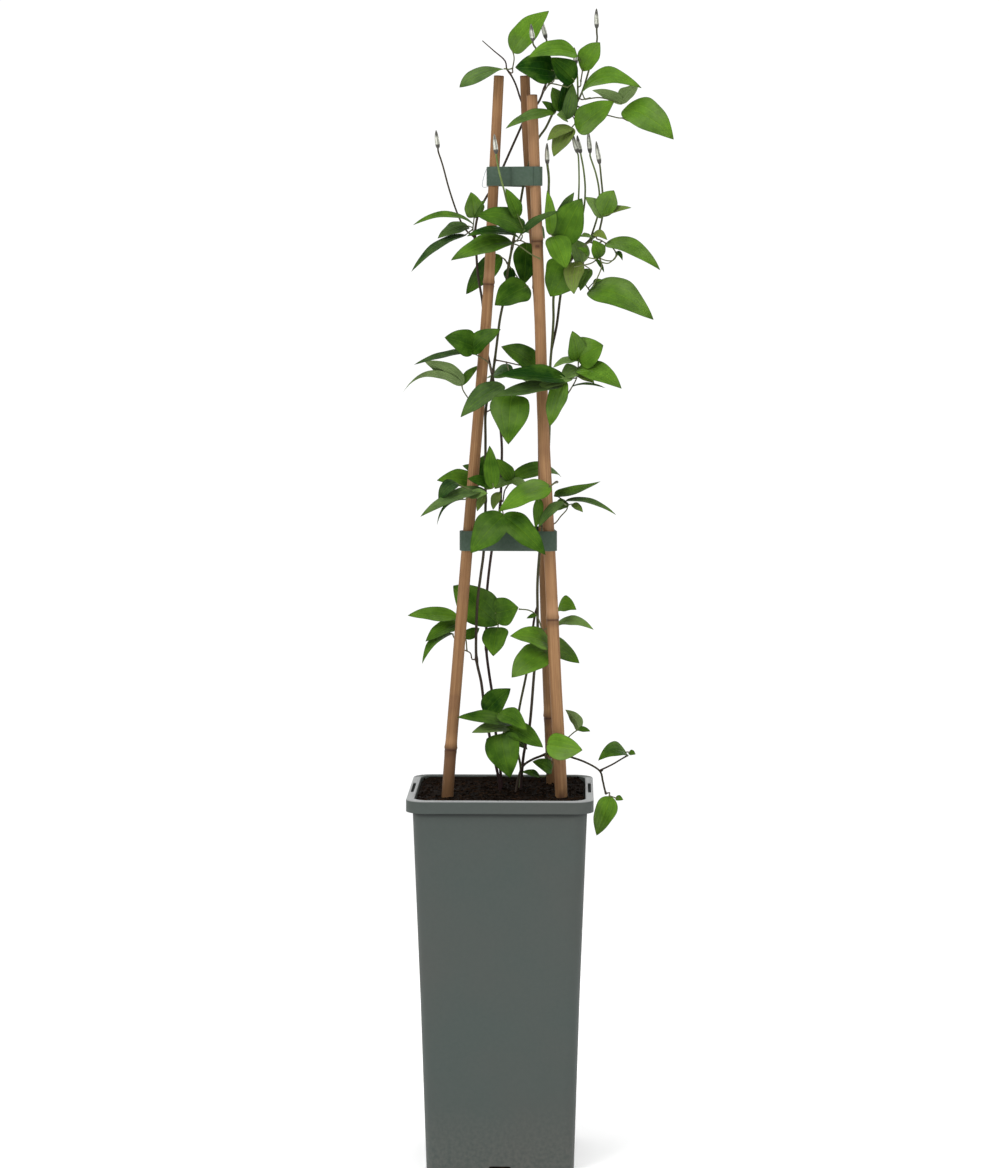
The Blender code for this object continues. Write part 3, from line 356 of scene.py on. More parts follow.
def make_streaks():
    """Noise drawn out along a tube: it reads the painted lay, close round the tube and slow along it."""
    group, given, out = new_group("streaks", [("Round", "NodeSocketFloat", 6.0),
                                              ("Along", "NodeSocketFloat", 0.02),
                                              ("Offset", "NodeSocketFloat", 0.0)])
    x, y, z = painted_lay(group)
    stretched = add_node(group, "ShaderNodeCombineXYZ", {
        0: calculate(group, "MULTIPLY", x, given["Round"]),
        1: calculate(group, "MULTIPLY", y, given["Round"]),
        2: add_part(group, given["Offset"], z, given["Along"])})
    waves = noise(group, stretched.outputs[0], 1.0, 4.0, 0.6)
    group.links.new(remap(group, waves, 0.3, 0.7), out.inputs["Value"])
    return group


BLOTCHES, GRAIN, STREAKS = make_blotches(), make_grain(), make_streaks()
print("shader groups:", [group.name for group in (BLOTCHES, GRAIN, STREAKS)])


# %% A blank material with bump
def new_material(name, roughness=0.5, specular=0.5):
    """A material, its tree, its shader, and the object's own coordinates."""
    made = bpy.data.materials.new(name)
    made.use_nodes = True
    tree = made.node_tree
    shader = tree.nodes["Principled BSDF"]
    shader.inputs["Roughness"].default_value = roughness
    shader.inputs["Specular IOR Level"].default_value = specular
    where = add_node(tree, "ShaderNodeTexCoord").outputs["Object"]
    return made, tree, shader, where


def set_finish(tree, shader, colour, roughness):
    """Link a material's colour and roughness."""
    tree.links.new(colour, shader.inputs["Base Color"])
    tree.links.new(roughness, shader.inputs["Roughness"])


def add_bump(tree, shader, height, distance, strength=1.0):
    """Tilt the shading by the slope of a height; distance is the real height of one unit, in metres."""
    bump = add_node(tree, "ShaderNodeBump", {"Height": height, "Distance": distance, "Strength": strength})
    tree.links.new(bump.outputs["Normal"], shader.inputs["Normal"])


# %% [markdown]
# ## Pot
# The pot is thin grey-green plastic, square with rounded corners, with a rolled rim whose skirt hangs
# over the wall. It could be a subdivided box, but a moulded pot is a stack of rounded squares, so its
# wall is drawn as one profile of half width and height that is carried round a rounded square. Slots
# in the rim's two sides and arched notches in the foot are cut out afterwards.

# %% Pot measures and profile
POT_HEIGHT, RIM_HALF, RIM_DROP = 240.0, 59.0, 8.0
BODY_HALF = ((0.0, 47.0), (113.0, 50.5), (240.0, 55.3))
POT_WALL, SKIRT_WALL, FLOOR = 1.4, 1.2, 2.2
CORNER_RADIUS, ARC_POINTS, SIDE_POINTS = 11.0, 14, 12
SLOT_HALF_LENGTH, SLOT_HALF_WIDTH, SLOT_MIDDLE = 20.0, 1.0, 56.55
NOTCH_HALF_WIDTH, NOTCH_HEIGHT, NOTCH_CORNER = 7.5, 4.2, 2.0
NOTCH_REACH = (38.0, 49.0)   # how far out the cut for a notch begins and ends
GAP = 0.3   # between touching solids, as in the CAD model


def body_half(z):
    """Outer half width of the wall at a height."""
    heights, halves = zip(*BODY_HALF)
    return np.interp(z, heights, halves)


def rounded_square(half, radius):
    """Points round a square: an arc at each corner and even points along each side, as two arrays."""
    turn = np.arange(4) * TAU / 4
    arc = np.linspace(0, TAU / 4, ARC_POINTS)
    centre = half - radius
    cx = centre * np.sign(np.cos(turn + TAU / 8))
    cy = centre * np.sign(np.sin(turn + TAU / 8))
    angle = turn[:, None] + arc
    x = cx[:, None] + radius * np.cos(angle)
    y = cy[:, None] + radius * np.sin(angle)
    share = np.linspace(0, 1, SIDE_POINTS + 2)[1:-1]
    x_side = x[:, -1:] + (np.roll(x[:, 0], -1)[:, None] - x[:, -1:]) * share
    y_side = y[:, -1:] + (np.roll(y[:, 0], -1)[:, None] - y[:, -1:]) * share
    return np.hstack([x, x_side]).ravel(), np.hstack([y, y_side]).ravel()


def pot_profile():
    """Half widths and heights from under the foot, up the outside, over the rim and down the inside."""
    top, skirt = POT_HEIGHT, POT_HEIGHT - RIM_DROP
    under, inner = top - POT_WALL, RIM_HALF - SKIRT_WALL
    rise = np.linspace(1.2, under, 34)
    outside = np.stack([body_half(rise), rise], axis=1)
    fall = np.linspace(top - 2.0, FLOOR, 20)
    inside = np.stack([body_half(fall) - POT_WALL, fall], axis=1)
    foot = [(43.0, 0.0), (45.8, 0.0), (46.6, 0.12), (46.9, 0.5)]
    rim = [(inner, under), (inner, under - 2.5), (inner, skirt + 0.3), (inner + 0.15, skirt + 0.05),
           (inner + 0.45, skirt), (RIM_HALF - 0.3, skirt), (RIM_HALF - 0.08, skirt + 0.12),
           (RIM_HALF, skirt + 0.45), (RIM_HALF, top - 4.0), (RIM_HALF, top - 1.1),
           (RIM_HALF - 0.12, top - 0.5), (RIM_HALF - 0.45, top - 0.12), (RIM_HALF - 0.9, top),
           (56.5, top), (54.9, top),
           (54.35, top - 0.12), (54.0, top - 0.45), (53.92, top - 1.0)]
    return np.vstack([foot, outside, rim, inside])


def square_stack(profile):
    """Rings of the profile round rounded squares, with the middle of the foot and of the floor last."""
    x, y = zip(*(rounded_square(half, CORNER_RADIUS * half / BODY_HALF[-1][1]) for half in profile[:, 0]))
    x, y = np.array(x), np.array(y)
    z = np.broadcast_to(profile[:, 1:], x.shape)
    ends = [(0, 0, profile[0, 1]), (0, 0, profile[-1, 1])]
    return np.vstack([np.stack([x, y, z], axis=-1).reshape(-1, 3), ends]), x.shape


# %% Cut the slots and the notches
def outline_cutter(name, outline, low, high, place_point):
    """A solid between two copies of a closed outline; place_point turns (along, up, depth) into x, y, z."""
    outline = np.array(outline)
    count = len(outline)
    rings = [np.c_[outline, np.full(count, depth)] for depth in (low, high)]
    points = place_point(np.vstack(rings))
    k = np.arange(count)
    following = (k + 1) % count
    faces = np.stack([k, following, following + count, k + count], axis=1).tolist()
    faces += [k[::-1].tolist(), (k + count).tolist()]
    mesh = bpy.data.meshes.new(name)
    mesh.from_pydata((points * MM).tolist(), [], faces)
    return add_object(name, mesh)


def rounded_bar(half_length, half_width, points=7):
    """Outline of a slot with round ends."""
    a = np.linspace(-TAU / 4, TAU / 4, points)
    right = np.stack([half_length - half_width + half_width * np.cos(a), half_width * np.sin(a)], axis=1)
    return np.vstack([right, -right])


def notch_outline():
    """A low arch that starts below the foot."""
    half, height, corner = NOTCH_HALF_WIDTH, NOTCH_HEIGHT, NOTCH_CORNER
    a = np.linspace(0, TAU / 4, 8)
    right = np.stack([half - corner + corner * np.cos(a), height - corner + corner * np.sin(a)], axis=1)
    left = right[::-1] * (-1, 1)
    return np.vstack([[(-half, -1.0), (half, -1.0)], right, left])


def pot_cutters():
    """Two slots that go down through the rim's sides and four notches that go in through the walls."""
    tools = []
    bar = rounded_bar(SLOT_HALF_LENGTH, SLOT_HALF_WIDTH)
    for side in (-1, 1):
        tools.append(outline_cutter("slot", bar, POT_HEIGHT - 3, POT_HEIGHT + 1, lambda p, s=side: np.c_[
            s * (SLOT_MIDDLE - p[:, 1]), p[:, 0], p[:, 2]]))
    for quarter in range(4):
        c, s = round(math.cos(quarter * TAU / 4)), round(math.sin(quarter * TAU / 4))
        tools.append(outline_cutter("notch", notch_outline(), *NOTCH_REACH, lambda p, c=c, s=s: np.c_[
            p[:, 2] * c - p[:, 0] * s, p[:, 2] * s + p[:, 0] * c, p[:, 1]]))
    return tools


def cut(thing, tools):
    """Subtract all the tools in one Boolean and keep the result as the piece's mesh."""
    group = bpy.data.collections.new("cutters")
    bpy.context.scene.collection.children.link(group)
    for tool in tools:
        bpy.context.scene.collection.objects.unlink(tool)
        group.objects.link(tool)
        mesh = tool.data
        volume = sum(mesh.vertices[f.vertices[0]].co.dot(f.normal * f.area) for f in mesh.polygons)
        if volume < 0:
            mesh.flip_normals()
    step = thing.modifiers.new("cut", "BOOLEAN")
    step.operand_type, step.collection = "COLLECTION", group
    step.operation, step.solver = "DIFFERENCE", "EXACT"
    result = bpy.data.meshes.new_from_object(thing.evaluated_get(bpy.context.evaluated_depsgraph_get()))
    thing.modifiers.clear()
    thing.data = result
    for tool in tools:
        bpy.data.objects.remove(tool, do_unlink=True)
    bpy.data.collections.remove(group)


# %% [markdown]
# The plastic is matt and nearly even: a grey green with faint cloudy patches from the mould, a little
# dust towards the foot, a painted highlight on the rim top, left off at the back, and a line of painted
# shade on the wall under the skirt. All of it reads the object's own coordinates, because the pot has
# no direction that a pattern would follow.

# %% Pot finish and piece
def pot_plastic():
    """Grey green with clouds, specks and dust at the foot; painted shade under the skirt and a painted
    highlight on the rim top, left off at the back.
    """
    made, tree, shader, where = new_material("pot plastic", specular=0.3)
    _, depth, height = add_node(tree, "ShaderNodeSeparateXYZ", {0: where}).outputs
    clouds = place(tree, BLOTCHES, Vector=where, Scale=14.0, Detail=2.0)
    specks = place(tree, BLOTCHES, Vector=where, Scale=420.0, Detail=2.0)
    colour = mix_colours(tree, clouds, (0.058, 0.075, 0.068), (0.068, 0.077, 0.070))
    colour = tint(tree, colour, specks, 0.12, (0.095, 0.105, 0.096))
    foot = calculate(tree, "MULTIPLY", remap(tree, height, 0.045, 0.0), specks)
    colour = tint(tree, colour, foot, 0.3, (0.16, 0.15, 0.13))
    # Painted shade: a dark band on the wall just under the rolled skirt, where the rim's shadow falls.
    above, below = remap(tree, height, 0.2285, 0.2312, smooth=True), remap(tree, height, 0.2323, 0.2320)
    painted_skirt_shade = calculate(tree, "MULTIPLY", above, below)
    colour = tint(tree, colour, painted_skirt_shade, 0.75, (0.018, 0.022, 0.020))
    # Painted highlight: the rim's top is paled where light from above falls on it, and not at the back.
    painted_rim_highlight = remap(tree, height, 0.2391, 0.2399, smooth=True)
    painted_rim_highlight = calculate(tree, "MULTIPLY", painted_rim_highlight, remap(tree, depth, 0.050, 0.044))
    colour = tint(tree, colour, painted_rim_highlight, 0.8, (0.42, 0.43, 0.43))
    set_finish(tree, shader, colour, add_part(tree, add_part(tree, 0.48, clouds, 0.08), specks, 0.06))
    add_bump(tree, shader, place(tree, GRAIN, Vector=where, Scale=1500.0), 0.00008, 0.6)
    return made


pot_points, pot_grid = square_stack(pot_profile())
pot = Piece()
pot.add(pot_points, [ring_faces(*pot_grid), cap_faces(*pot_grid)])
pot = pot.build("pot", [pot_plastic()], "pot", sharp=35)
cut(pot, pot_cutters())
smooth_faces(pot.data, 35)
print("pot:", triangles(pot), "triangles")

# %% [markdown]
# Thin ribs join the wall and the skirt under the flange, behind the two slots. They keep the rim stiff,
# and they are what shows through the slots as short bars with dark between them.

# %% Ribs under the flange
RIB_PLACES = (-17, -11, -5, 1, 7, 13, 19)
RIB_REACH, RIB_HEIGHTS, RIB_THICKNESS = (54.7, 58.0), (232.5, 238.7), 0.9


def add_rib(piece, side, y):
    """An upright plate from the wall to the skirt; turning it half round puts it on the other side."""
    near, far = RIB_REACH
    across = np.array([(near, -1), (far, -1), (far, 1), (near, 1)]) * (1, RIB_THICKNESS / 2)
    corners = np.array([(x, y + w, z) for z in RIB_HEIGHTS for x, w in across])
    corners[:, :2] *= side
    faces = np.array([(3, 2, 1, 0), (4, 5, 6, 7), (0, 1, 5, 4), (1, 2, 6, 5), (2, 3, 7, 6), (3, 0, 4, 7)])
    piece.add(corners, [faces])


ribs = Piece()
for side in (-1, 1):
    for y in RIB_PLACES:
        add_rib(ribs, side, y)
ribs = ribs.build("pot_ribs", [pot.data.materials[0]], "pot", ["pot"])
print("ribs:", triangles(ribs), "triangles")

# %% [markdown]
# ## Soil
# Potting mix is near-black, crumbly and full of short fibres. A flat dark lid would look painted, so
# the top is a fine polar grid pushed up and down by several sizes of waves, and loose crumbs and
# fibres lie on it. They are small shapes copied many times with numpy, so each has few faces.

# %% Soil surface
SOIL_LEVEL = 236.8
CRUMBS, RIM_CRUMBS, FIBRES = 1100, 26, 130
LITTER_REACH = 52.5   # crumbs and fibres lie within this distance of the pot's middle lines
chance = np.random.default_rng(7)


def rough_ground(x, y, size, seed):
    """Sum of waves in random directions, each half as high and half as wide as the one before."""
    pick = np.random.default_rng(seed)
    total = np.zeros_like(x)
    for octave in range(5):
        for _ in range(4):
            angle, phase = pick.uniform(0, TAU, 2)
            k = TAU / (size / 1.9 ** octave) * pick.uniform(0.7, 1.3)
            wave = np.sin(k * (x * math.cos(angle) + y * math.sin(angle)) + phase)
            total += np.abs(wave) * wave * 0.62 ** octave
    return total / 4


def soil_height(x, y):
    """Height of the soil's top; the unevenness fades at the wall, and it is banked up at the back."""
    fade = np.clip((54 - np.maximum(abs(x), abs(y))) / 8, 0.15, 1)
    bank = 2.2 * np.clip((y - 44) / 8, 0, 1) ** 2
    return SOIL_LEVEL + bank + fade * (0.75 * rough_ground(x, y, 16.0, 3) + 0.2)


def add_soil_body(piece):
    """Sides from the pot's floor up to the brim, then rings in to the middle."""
    inset = POT_WALL + GAP
    sides = np.array([(body_half(z) - inset, z) for z in (FLOOR + GAP, 113.0, 200.0, SOIL_LEVEL - 3)])
    brim = body_half(SOIL_LEVEL) - inset
    shares = np.linspace(1, 0, 64)[:-1] ** 0.9
    profile = np.vstack([sides, np.c_[brim * shares, np.full(len(shares), SOIL_LEVEL)]])
    points, grid = square_stack(profile)
    top = points[:, 2] > SOIL_LEVEL - 1
    points[top, 2] = soil_height(points[top, 0], points[top, 1])
    piece.add(points, [ring_faces(*grid), cap_faces(*grid)], tone=0.3)


# %% Crumbs and fibres
def crumb_shape():
    """Twelve points and twenty triangles of an icosahedron."""
    g = (1 + 5 ** 0.5) / 2
    points = np.array([(-1, g, 0), (1, g, 0), (-1, -g, 0), (1, -g, 0), (0, -1, g), (0, 1, g), (0, -1, -g),
                       (0, 1, -g), (g, 0, -1), (g, 0, 1), (-g, 0, -1), (-g, 0, 1)]) / (1 + g * g) ** 0.5
    faces = np.array([(0, 11, 5), (0, 5, 1), (0, 1, 7), (0, 7, 10), (0, 10, 11), (1, 5, 9), (5, 11, 4),
                      (11, 10, 2), (10, 7, 6), (7, 1, 8), (3, 9, 4), (3, 4, 2), (3, 2, 6), (3, 6, 8),
                      (3, 8, 9), (4, 9, 5), (2, 4, 11), (6, 2, 10), (8, 6, 7), (9, 8, 1)])
    return points, faces


def add_crumbs(piece, x, y, z, size):
    """Copies of the crumb, each stretched, turned about the upright and dented at random."""
    points, faces = crumb_shape()
    count = len(x)
    turn = chance.uniform(0, TAU, count)[:, None]
    stretch = chance.uniform(0.6, 1.3, (count, 1, 3)) * (1, 1, 0.75)
    dents = chance.uniform(0.75, 1.15, (count, 12, 1))
    shape = points[None] * stretch * dents * size[:, None, None]
    turned = np.stack([shape[..., 0] * np.cos(turn) - shape[..., 1] * np.sin(turn),
                       shape[..., 0] * np.sin(turn) + shape[..., 1] * np.cos(turn), shape[..., 2]], axis=-1)
    turned += np.stack([x, y, z], axis=1)[:, None]
    index = (faces[None] + 12 * np.arange(count)[:, None, None]).reshape(-1, 3)
    piece.add(turned, [index], tone=np.repeat(chance.uniform(0, 1, count) ** 2, 12))


def add_fibre(piece, x, y, length, turn, bend):
    """A thin tube that lies along a short arc on the ground."""
    t = np.linspace(-0.5, 0.5, 7)
    angle = turn + bend * t
    px = x + np.cumsum(np.cos(angle)) * length / 7
    py = y + np.cumsum(np.sin(angle)) * length / 7
    inside = np.clip(np.stack([px, py]), -LITTER_REACH, LITTER_REACH)
    pz = soil_height(*inside) + 0.25 + 0.5 * (0.25 - t ** 2)
    add_tube(piece, np.c_[inside.T, pz], 0.16, sides=4, tone=1.0)


# %% Soil finish and piece
def potting_mix():
    """Near-black lumps; the painted tone makes some crumbs and the fibres browner."""
    made, tree, shader, where = new_material("potting mix", roughness=0.95, specular=0.04)
    lumps = place(tree, BLOTCHES, Vector=where, Scale=260.0, Detail=5.0)
    colour = mix_colours(tree, lumps, (0.0030, 0.0018, 0.0010), (0.012, 0.0066, 0.0036))
    colour = mix_colours(tree, remap(tree, painted(tree, "tone"), 0.5, 1.0), colour, (0.036, 0.019, 0.010))
    set_finish(tree, shader, colour, remap(tree, lumps, 0.0, 1.0, 0.85, 1.0))
    add_bump(tree, shader, place(tree, GRAIN, Vector=where, Scale=1800.0), 0.0005)
    return made


soil = Piece()
add_soil_body(soil)
spread = chance.uniform(-LITTER_REACH, LITTER_REACH, (2, CRUMBS))
add_crumbs(soil, *spread, soil_height(*spread) + 0.15, chance.uniform(0.35, 1.25, CRUMBS))
front = np.c_[chance.uniform(-40, 5, RIM_CRUMBS), chance.uniform(-55.2, -53.0, RIM_CRUMBS)].T
add_crumbs(soil, *front, np.full(RIM_CRUMBS, POT_HEIGHT + 0.1), chance.uniform(0.2, 0.5, RIM_CRUMBS))
for _ in range(FIBRES):
    add_fibre(soil, *chance.uniform(-50, 50, 2), chance.uniform(4, 13), chance.uniform(0, TAU),
              chance.uniform(-2.5, 2.5))
soil = soil.build("soil", [potting_mix()], "soil", sharp=50)
print("soil:", triangles(soil), "triangles")

# %% [markdown]
# ## Canes
# The canes are thin bamboo sticks. Bamboo is smooth between its nodes and swells at each one, with a
# raised ring and a fine groove below it where the leaf sheath broke off. The cut tops are hollow.
# A profile of radius along the stick shows all of that, so each cane is one skin whose radius is a sum
# of bumps at the nodes. Its centre line passes the same points as the CAD cane's.

# %% Cane measures
CANE_FOOT_Z, CANE_LENGTH, CANE_TAPER = 93.0, 600, 0.75   # the taper is how much the radius shrinks
# For each cane its radius at the foot, the points that its centre line passes, and its nodes' heights.
CANES = {
    "cane_left": (3.95, [(-42, -24, 93), (-34, -20, 237), (-27.2, -18, 324), (-21.0, -14, 401),
                         (-15.7, -11, 464), (-8.6, -7, 552), (-5.4, -5, 615), (-1.5, -4, 693)], (268, 563)),
    "cane_right": (4.1, [(43.5, -22, 93), (38.6, -20, 237), (34.7, -19, 312), (31.1, -16, 388),
                         (26.6, -12, 477), (24.2, -9, 552), (19.3, -6, 681)], (114, 351, 590)),
    "cane_back": (3.9, [(38.5, 42, 93), (32.4, 38, 237), (29.2, 31, 319), (27.2, 26, 385),
                        (26.0, 21, 476), (23.4, 16, 552), (16.6, 11.5, 647), (14.6, 9.5, 694)],
                  (138, 282, 560)),
}
SCARS = {"cane_left": [(365.0, 1.4)], "cane_right": [(586.0, 1.8), (236.5, 2.0)]}   # height, half size


def cane_centre(name, heights):
    """Centre line of a cane at the given heights."""
    path = smooth_path(CANES[name][1], 4.0)
    return np.stack([np.interp(heights, path[:, 2], path[:, k]) for k in range(3)], axis=1)


def cane_radii(name, heights):
    """Slim taper, a swelling at each node, a ridge on it and a groove under the ridge."""
    radius, _, nodes = CANES[name]
    total = radius - CANE_TAPER * (heights - CANE_FOOT_Z) / CANE_LENGTH
    for node in nodes:
        total = total + 0.33 * np.exp(-((heights - node) / 3.0) ** 2)
        total = total + 0.16 * np.exp(-((heights - node - 0.7) / 0.7) ** 2)
        total = total - 0.22 * np.exp(-((heights - node + 0.9) / 0.55) ** 2)
    return total


def node_marks(name, heights):
    """Darkness of the rings at the nodes, a soft shade and a sharp line."""
    marks = np.zeros_like(heights)
    for node in CANES[name][2]:
        marks = np.maximum(marks, 0.55 * np.exp(-((heights - node + 2.0) / 3.5) ** 2))
        marks = np.maximum(marks, np.exp(-((heights - node + 0.9) / 1.1) ** 2))
    return marks


def cane_tone(name, heights):
    """Lightness up each cane: brown near the soil on the left one, red-brown and pale on the right one,
    darker all over on the back one, partly as painted shade.
    """
    if name == "cane_left":
        tone = np.interp(heights, (230, 268, 272, 400, 700), (0.04, 0.12, 0.30, 0.42, 0.50))
    elif name == "cane_right":
        tone = np.interp(heights, (230, 262, 351, 590, 592, 690), (0.30, 0.46, 0.56, 0.58, 0.76, 0.62))
    else:
        # Partly painted shade: the back cane stands behind the other two and is painted darker all over.
        tone = np.full_like(heights, 0.26)
    for node in CANES[name][2]:
        tone = tone + 0.25 * np.exp(-((heights - node - 5.0) / 3.5) ** 2)
    return tone


def add_cane(piece, name, sides=28):
    """Rings up the outside, then over the cut edge and down the hollow to a floor."""
    _, points, nodes = CANES[name]
    top = points[-1][2]
    close = [node + np.arange(-7, 7.1, 0.5) for node in nodes]
    heights = np.concatenate([np.arange(CANE_FOOT_Z, top - 1, 6.0), [top - 1.0, top - 0.15], *close])
    heights = np.unique(heights[heights < top])
    hollow = np.array([top, top, top - 0.3, top - 8.0, top - 8.0])
    walls = np.array([0.88, 0.62, 0.55, 0.5, 0.1])
    outer = cane_radii(name, heights)
    radii = np.r_[outer, walls * outer[-1]]
    centres = np.vstack([cane_centre(name, heights), cane_centre(name, np.minimum(hollow, top))])
    centres[-5:] += (centres[len(heights) - 1] - centres[-5]) * (1, 1, 0)
    side, across = path_frames(centres[:len(heights)])
    side, across = (np.vstack([d, np.repeat(d[-1:], 5, axis=0)]) for d in (side, across))
    a = angles(sides)
    out_of_round = 1 + 0.012 * np.sin(2 * a + 1.0) + 0.006 * np.sin(5 * a)
    grid = skin(centres, side, across, radii[:, None] * out_of_round, sides)
    run = np.r_[heights, hollow]
    # Marks over the cut edge and down the hollow: the cut face is dark, and the darkening down the hollow to
    # its floor is painted shade. A dark line also runs round just under the cut edge.
    marks = np.r_[node_marks(name, heights), 0.75, 0.5, 0.8, 1.0, 1.0]
    marks[len(heights) - 2:len(heights)] = 0.25, 0.95
    spots = np.repeat(marks[:, None], sides, axis=1)
    for height, wide in SCARS.get(name, ()):
        front = (centres[:, None, 1] - grid[..., 1]) / radii[:, None]
        ring = np.exp(-((run[:, None] - height) / wide) ** 2) * np.clip((front - 0.80) / 0.15, 0, 1)
        spots = np.maximum(spots, ring)
    ends = centres[[0, -1]]
    tone = cane_tone(name, np.r_[grid[..., 2].ravel(), ends[:, 2]])
    add_skin(piece, grid, ends, round_lay(sides, run), tone=tone, mark=np.r_[spots.ravel(), 0.5, 1.0])


# %% [markdown]
# Dry bamboo is tan with long darker streaks, a faint gloss, and dark brown rings at the nodes. The
# streaks must run along the stick however it leans, so they come from the painted "lay" of each point
# and not from the object's coordinates. The painted tone makes each cane its own shade.

# %% Bamboo and canes
def bamboo():
    """Tan with brown streaks and stains, darker or paler by the painted tone, dark at the marks."""
    made, tree, shader, where = new_material("bamboo", specular=0.15)
    broad = place(tree, STREAKS, Round=1.6, Along=0.012)
    fine = place(tree, STREAKS, Round=9.0, Along=0.012, Offset=40.0)
    stains = place(tree, BLOTCHES, Vector=where, Scale=45.0, Detail=4.0)
    colour = mix_colours(tree, broad, (0.28, 0.145, 0.060), (0.42, 0.238, 0.112))
    colour = mix_colours(tree, remap(tree, fine, 0.35, 0.85, 0.0, 0.62), colour, (0.19, 0.085, 0.038))
    tone = painted(tree, "tone")
    colour = mix_colours(tree, remap(tree, tone, 0.5, 0.0, 0.0, 0.88), colour, (0.115, 0.058, 0.024))
    colour = mix_colours(tree, remap(tree, tone, 0.5, 1.0, 0.0, 0.5), colour, (0.62, 0.36, 0.21))
    colour = tint(tree, colour, remap(tree, stains, 0.6, 1.0), 0.4, (0.17, 0.085, 0.045))
    colour = tint(tree, colour, painted(tree, "mark"), 0.85, (0.055, 0.022, 0.014))
    set_finish(tree, shader, colour, remap(tree, fine, 0.0, 1.0, 0.42, 0.62))
    add_bump(tree, shader, add_part(tree, fine, broad, 0.6), 0.00012)
    return made


bamboo_finish = bamboo()
for name in CANES:
    piece = Piece()
    add_cane(piece, name)
    cane = piece.build(name, [bamboo_finish], "cane")
    print(name + ":", triangles(cane), "triangles")

# %% [markdown]
# ## Bands
# Two strips of flat grey-green plastic run tight round the three canes. In plan a tight strip is an arc
# round each cane joined by straight runs. The strip's section, a thin upright bar with rounded
# edges, is carried round that loop. The upper strip ends in an overlap at the front, with a crease.

# %% The loop round the canes
BANDS = {"band_upper": (624.0, 12.0), "band_middle": (394.0, 12.6)}   # lower edge, height
# Painted shade: each band is painted this much darker; for the middle band it stands for the shadow of the
# leaves above it.
BAND_PAINTED_SHADE = {"band_upper": 0.06, "band_middle": 0.28}   # how much darker than the plain plastic
BAND_THICKNESS, BAND_GAP = 0.6, GAP + 0.15
OVERLAP = (7.5, 20.8)   # where the second layer begins and ends on the front
ARC_STEPS, RUN_STEPS = 18, 26


def band_loop(z, offset):
    """Points and outward directions round the three canes at a height, at a distance from their skins."""
    names = ("cane_left", "cane_right", "cane_back")
    centres = np.array([cane_centre(name, [z])[0, :2] for name in names])
    taper = CANE_TAPER * (z - CANE_FOOT_Z) / CANE_LENGTH
    radii = np.array([CANES[name][0] + offset for name in names]) - taper
    run = np.roll(centres, -1, axis=0) - centres
    leave = np.arctan2(-run[:, 0], run[:, 1])
    arrive = np.roll(leave, 1)
    sweep = (leave - arrive) % TAU
    angle = arrive[:, None] + sweep[:, None] * np.linspace(0, 1, ARC_STEPS)
    normal = np.stack([np.cos(angle), np.sin(angle)], axis=-1)
    arc = centres[:, None] + radii[:, None, None] * normal
    share = np.linspace(0, 1, RUN_STEPS + 2)[None, 1:-1, None]
    straight = arc[:, -1:] + (np.roll(arc[:, 0], -1, axis=0)[:, None] - arc[:, -1:]) * share
    normals = np.repeat(normal[:, -1:], RUN_STEPS, axis=1)
    return (np.concatenate([arc, straight], axis=1).reshape(-1, 2),
            np.concatenate([normal, normals], axis=1).reshape(-1, 2))


def strip_section(height, thickness, points=4):
    """Closed section of a flat strip with rounded edges, as (out, up) pairs, counterclockwise."""
    r = thickness * 0.42
    a = np.linspace(0, TAU / 4, points)
    corners = [(thickness - r, height - r, 0), (r, height - r, 1), (r, r, 2), (thickness - r, r, 3)]
    return np.vstack([np.c_[x + r * np.cos(a + q * TAU / 4), y + r * np.sin(a + q * TAU / 4)]
                      for x, y, q in corners])


def crease(x, y):
    """Small dent of the strip where it was once folded, at the front of the upper band."""
    fold = -0.35 * np.exp(-((x - 6.8) / 0.9) ** 2) + 0.18 * np.exp(-((x - 9.5) / 2.2) ** 2)
    return (y < 0) * fold


def add_band(piece, name):
    """The section at every point of the loop, closed round both ways."""
    low, height = BANDS[name]
    line, normal = band_loop(low, BAND_GAP)
    section = strip_section(height, BAND_THICKNESS)
    bow = 0.12 * np.sin(np.arange(len(line)) / len(line) * TAU * 5 + 1.0)
    if name == "band_upper":
        bow = bow + crease(line[:, 0], line[:, 1])
    offset = section[None, :, 0] + np.clip(bow, 0, None)[:, None] + np.clip(bow, None, 0)[:, None] * 0.5
    xy = line[:, None] + normal[:, None] * offset[..., None]
    z = np.broadcast_to(low + section[None, :, 1], xy.shape[:2])
    points = np.concatenate([xy, z[..., None]], axis=-1)[::-1]
    rows, cols = points.shape[:2]
    faces = ring_faces(rows + 1, cols) % (rows * cols)
    run = np.broadcast_to(np.arange(rows)[:, None] * 1.0, (rows, cols))
    lay = np.stack([np.broadcast_to(section[None, :, 0], run.shape), run, z - low], axis=-1)
    edge = np.minimum(section[:, 1], height - section[:, 1]) < 0.15
    tone = np.full(xy.shape[:2], BAND_PAINTED_SHADE[name])
    # Painted shade in the crease: the upper band's front is painted darker along the fold.
    if name == "band_upper":
        tone = tone + 0.40 * ((xy[..., 1] < 0) * np.exp(-((xy[..., 0] - 6.3) / 1.0) ** 2))
    piece.add(points, [faces], lay.reshape(-1, 3), tone[::-1].ravel(), np.tile(edge * 1.0, rows))


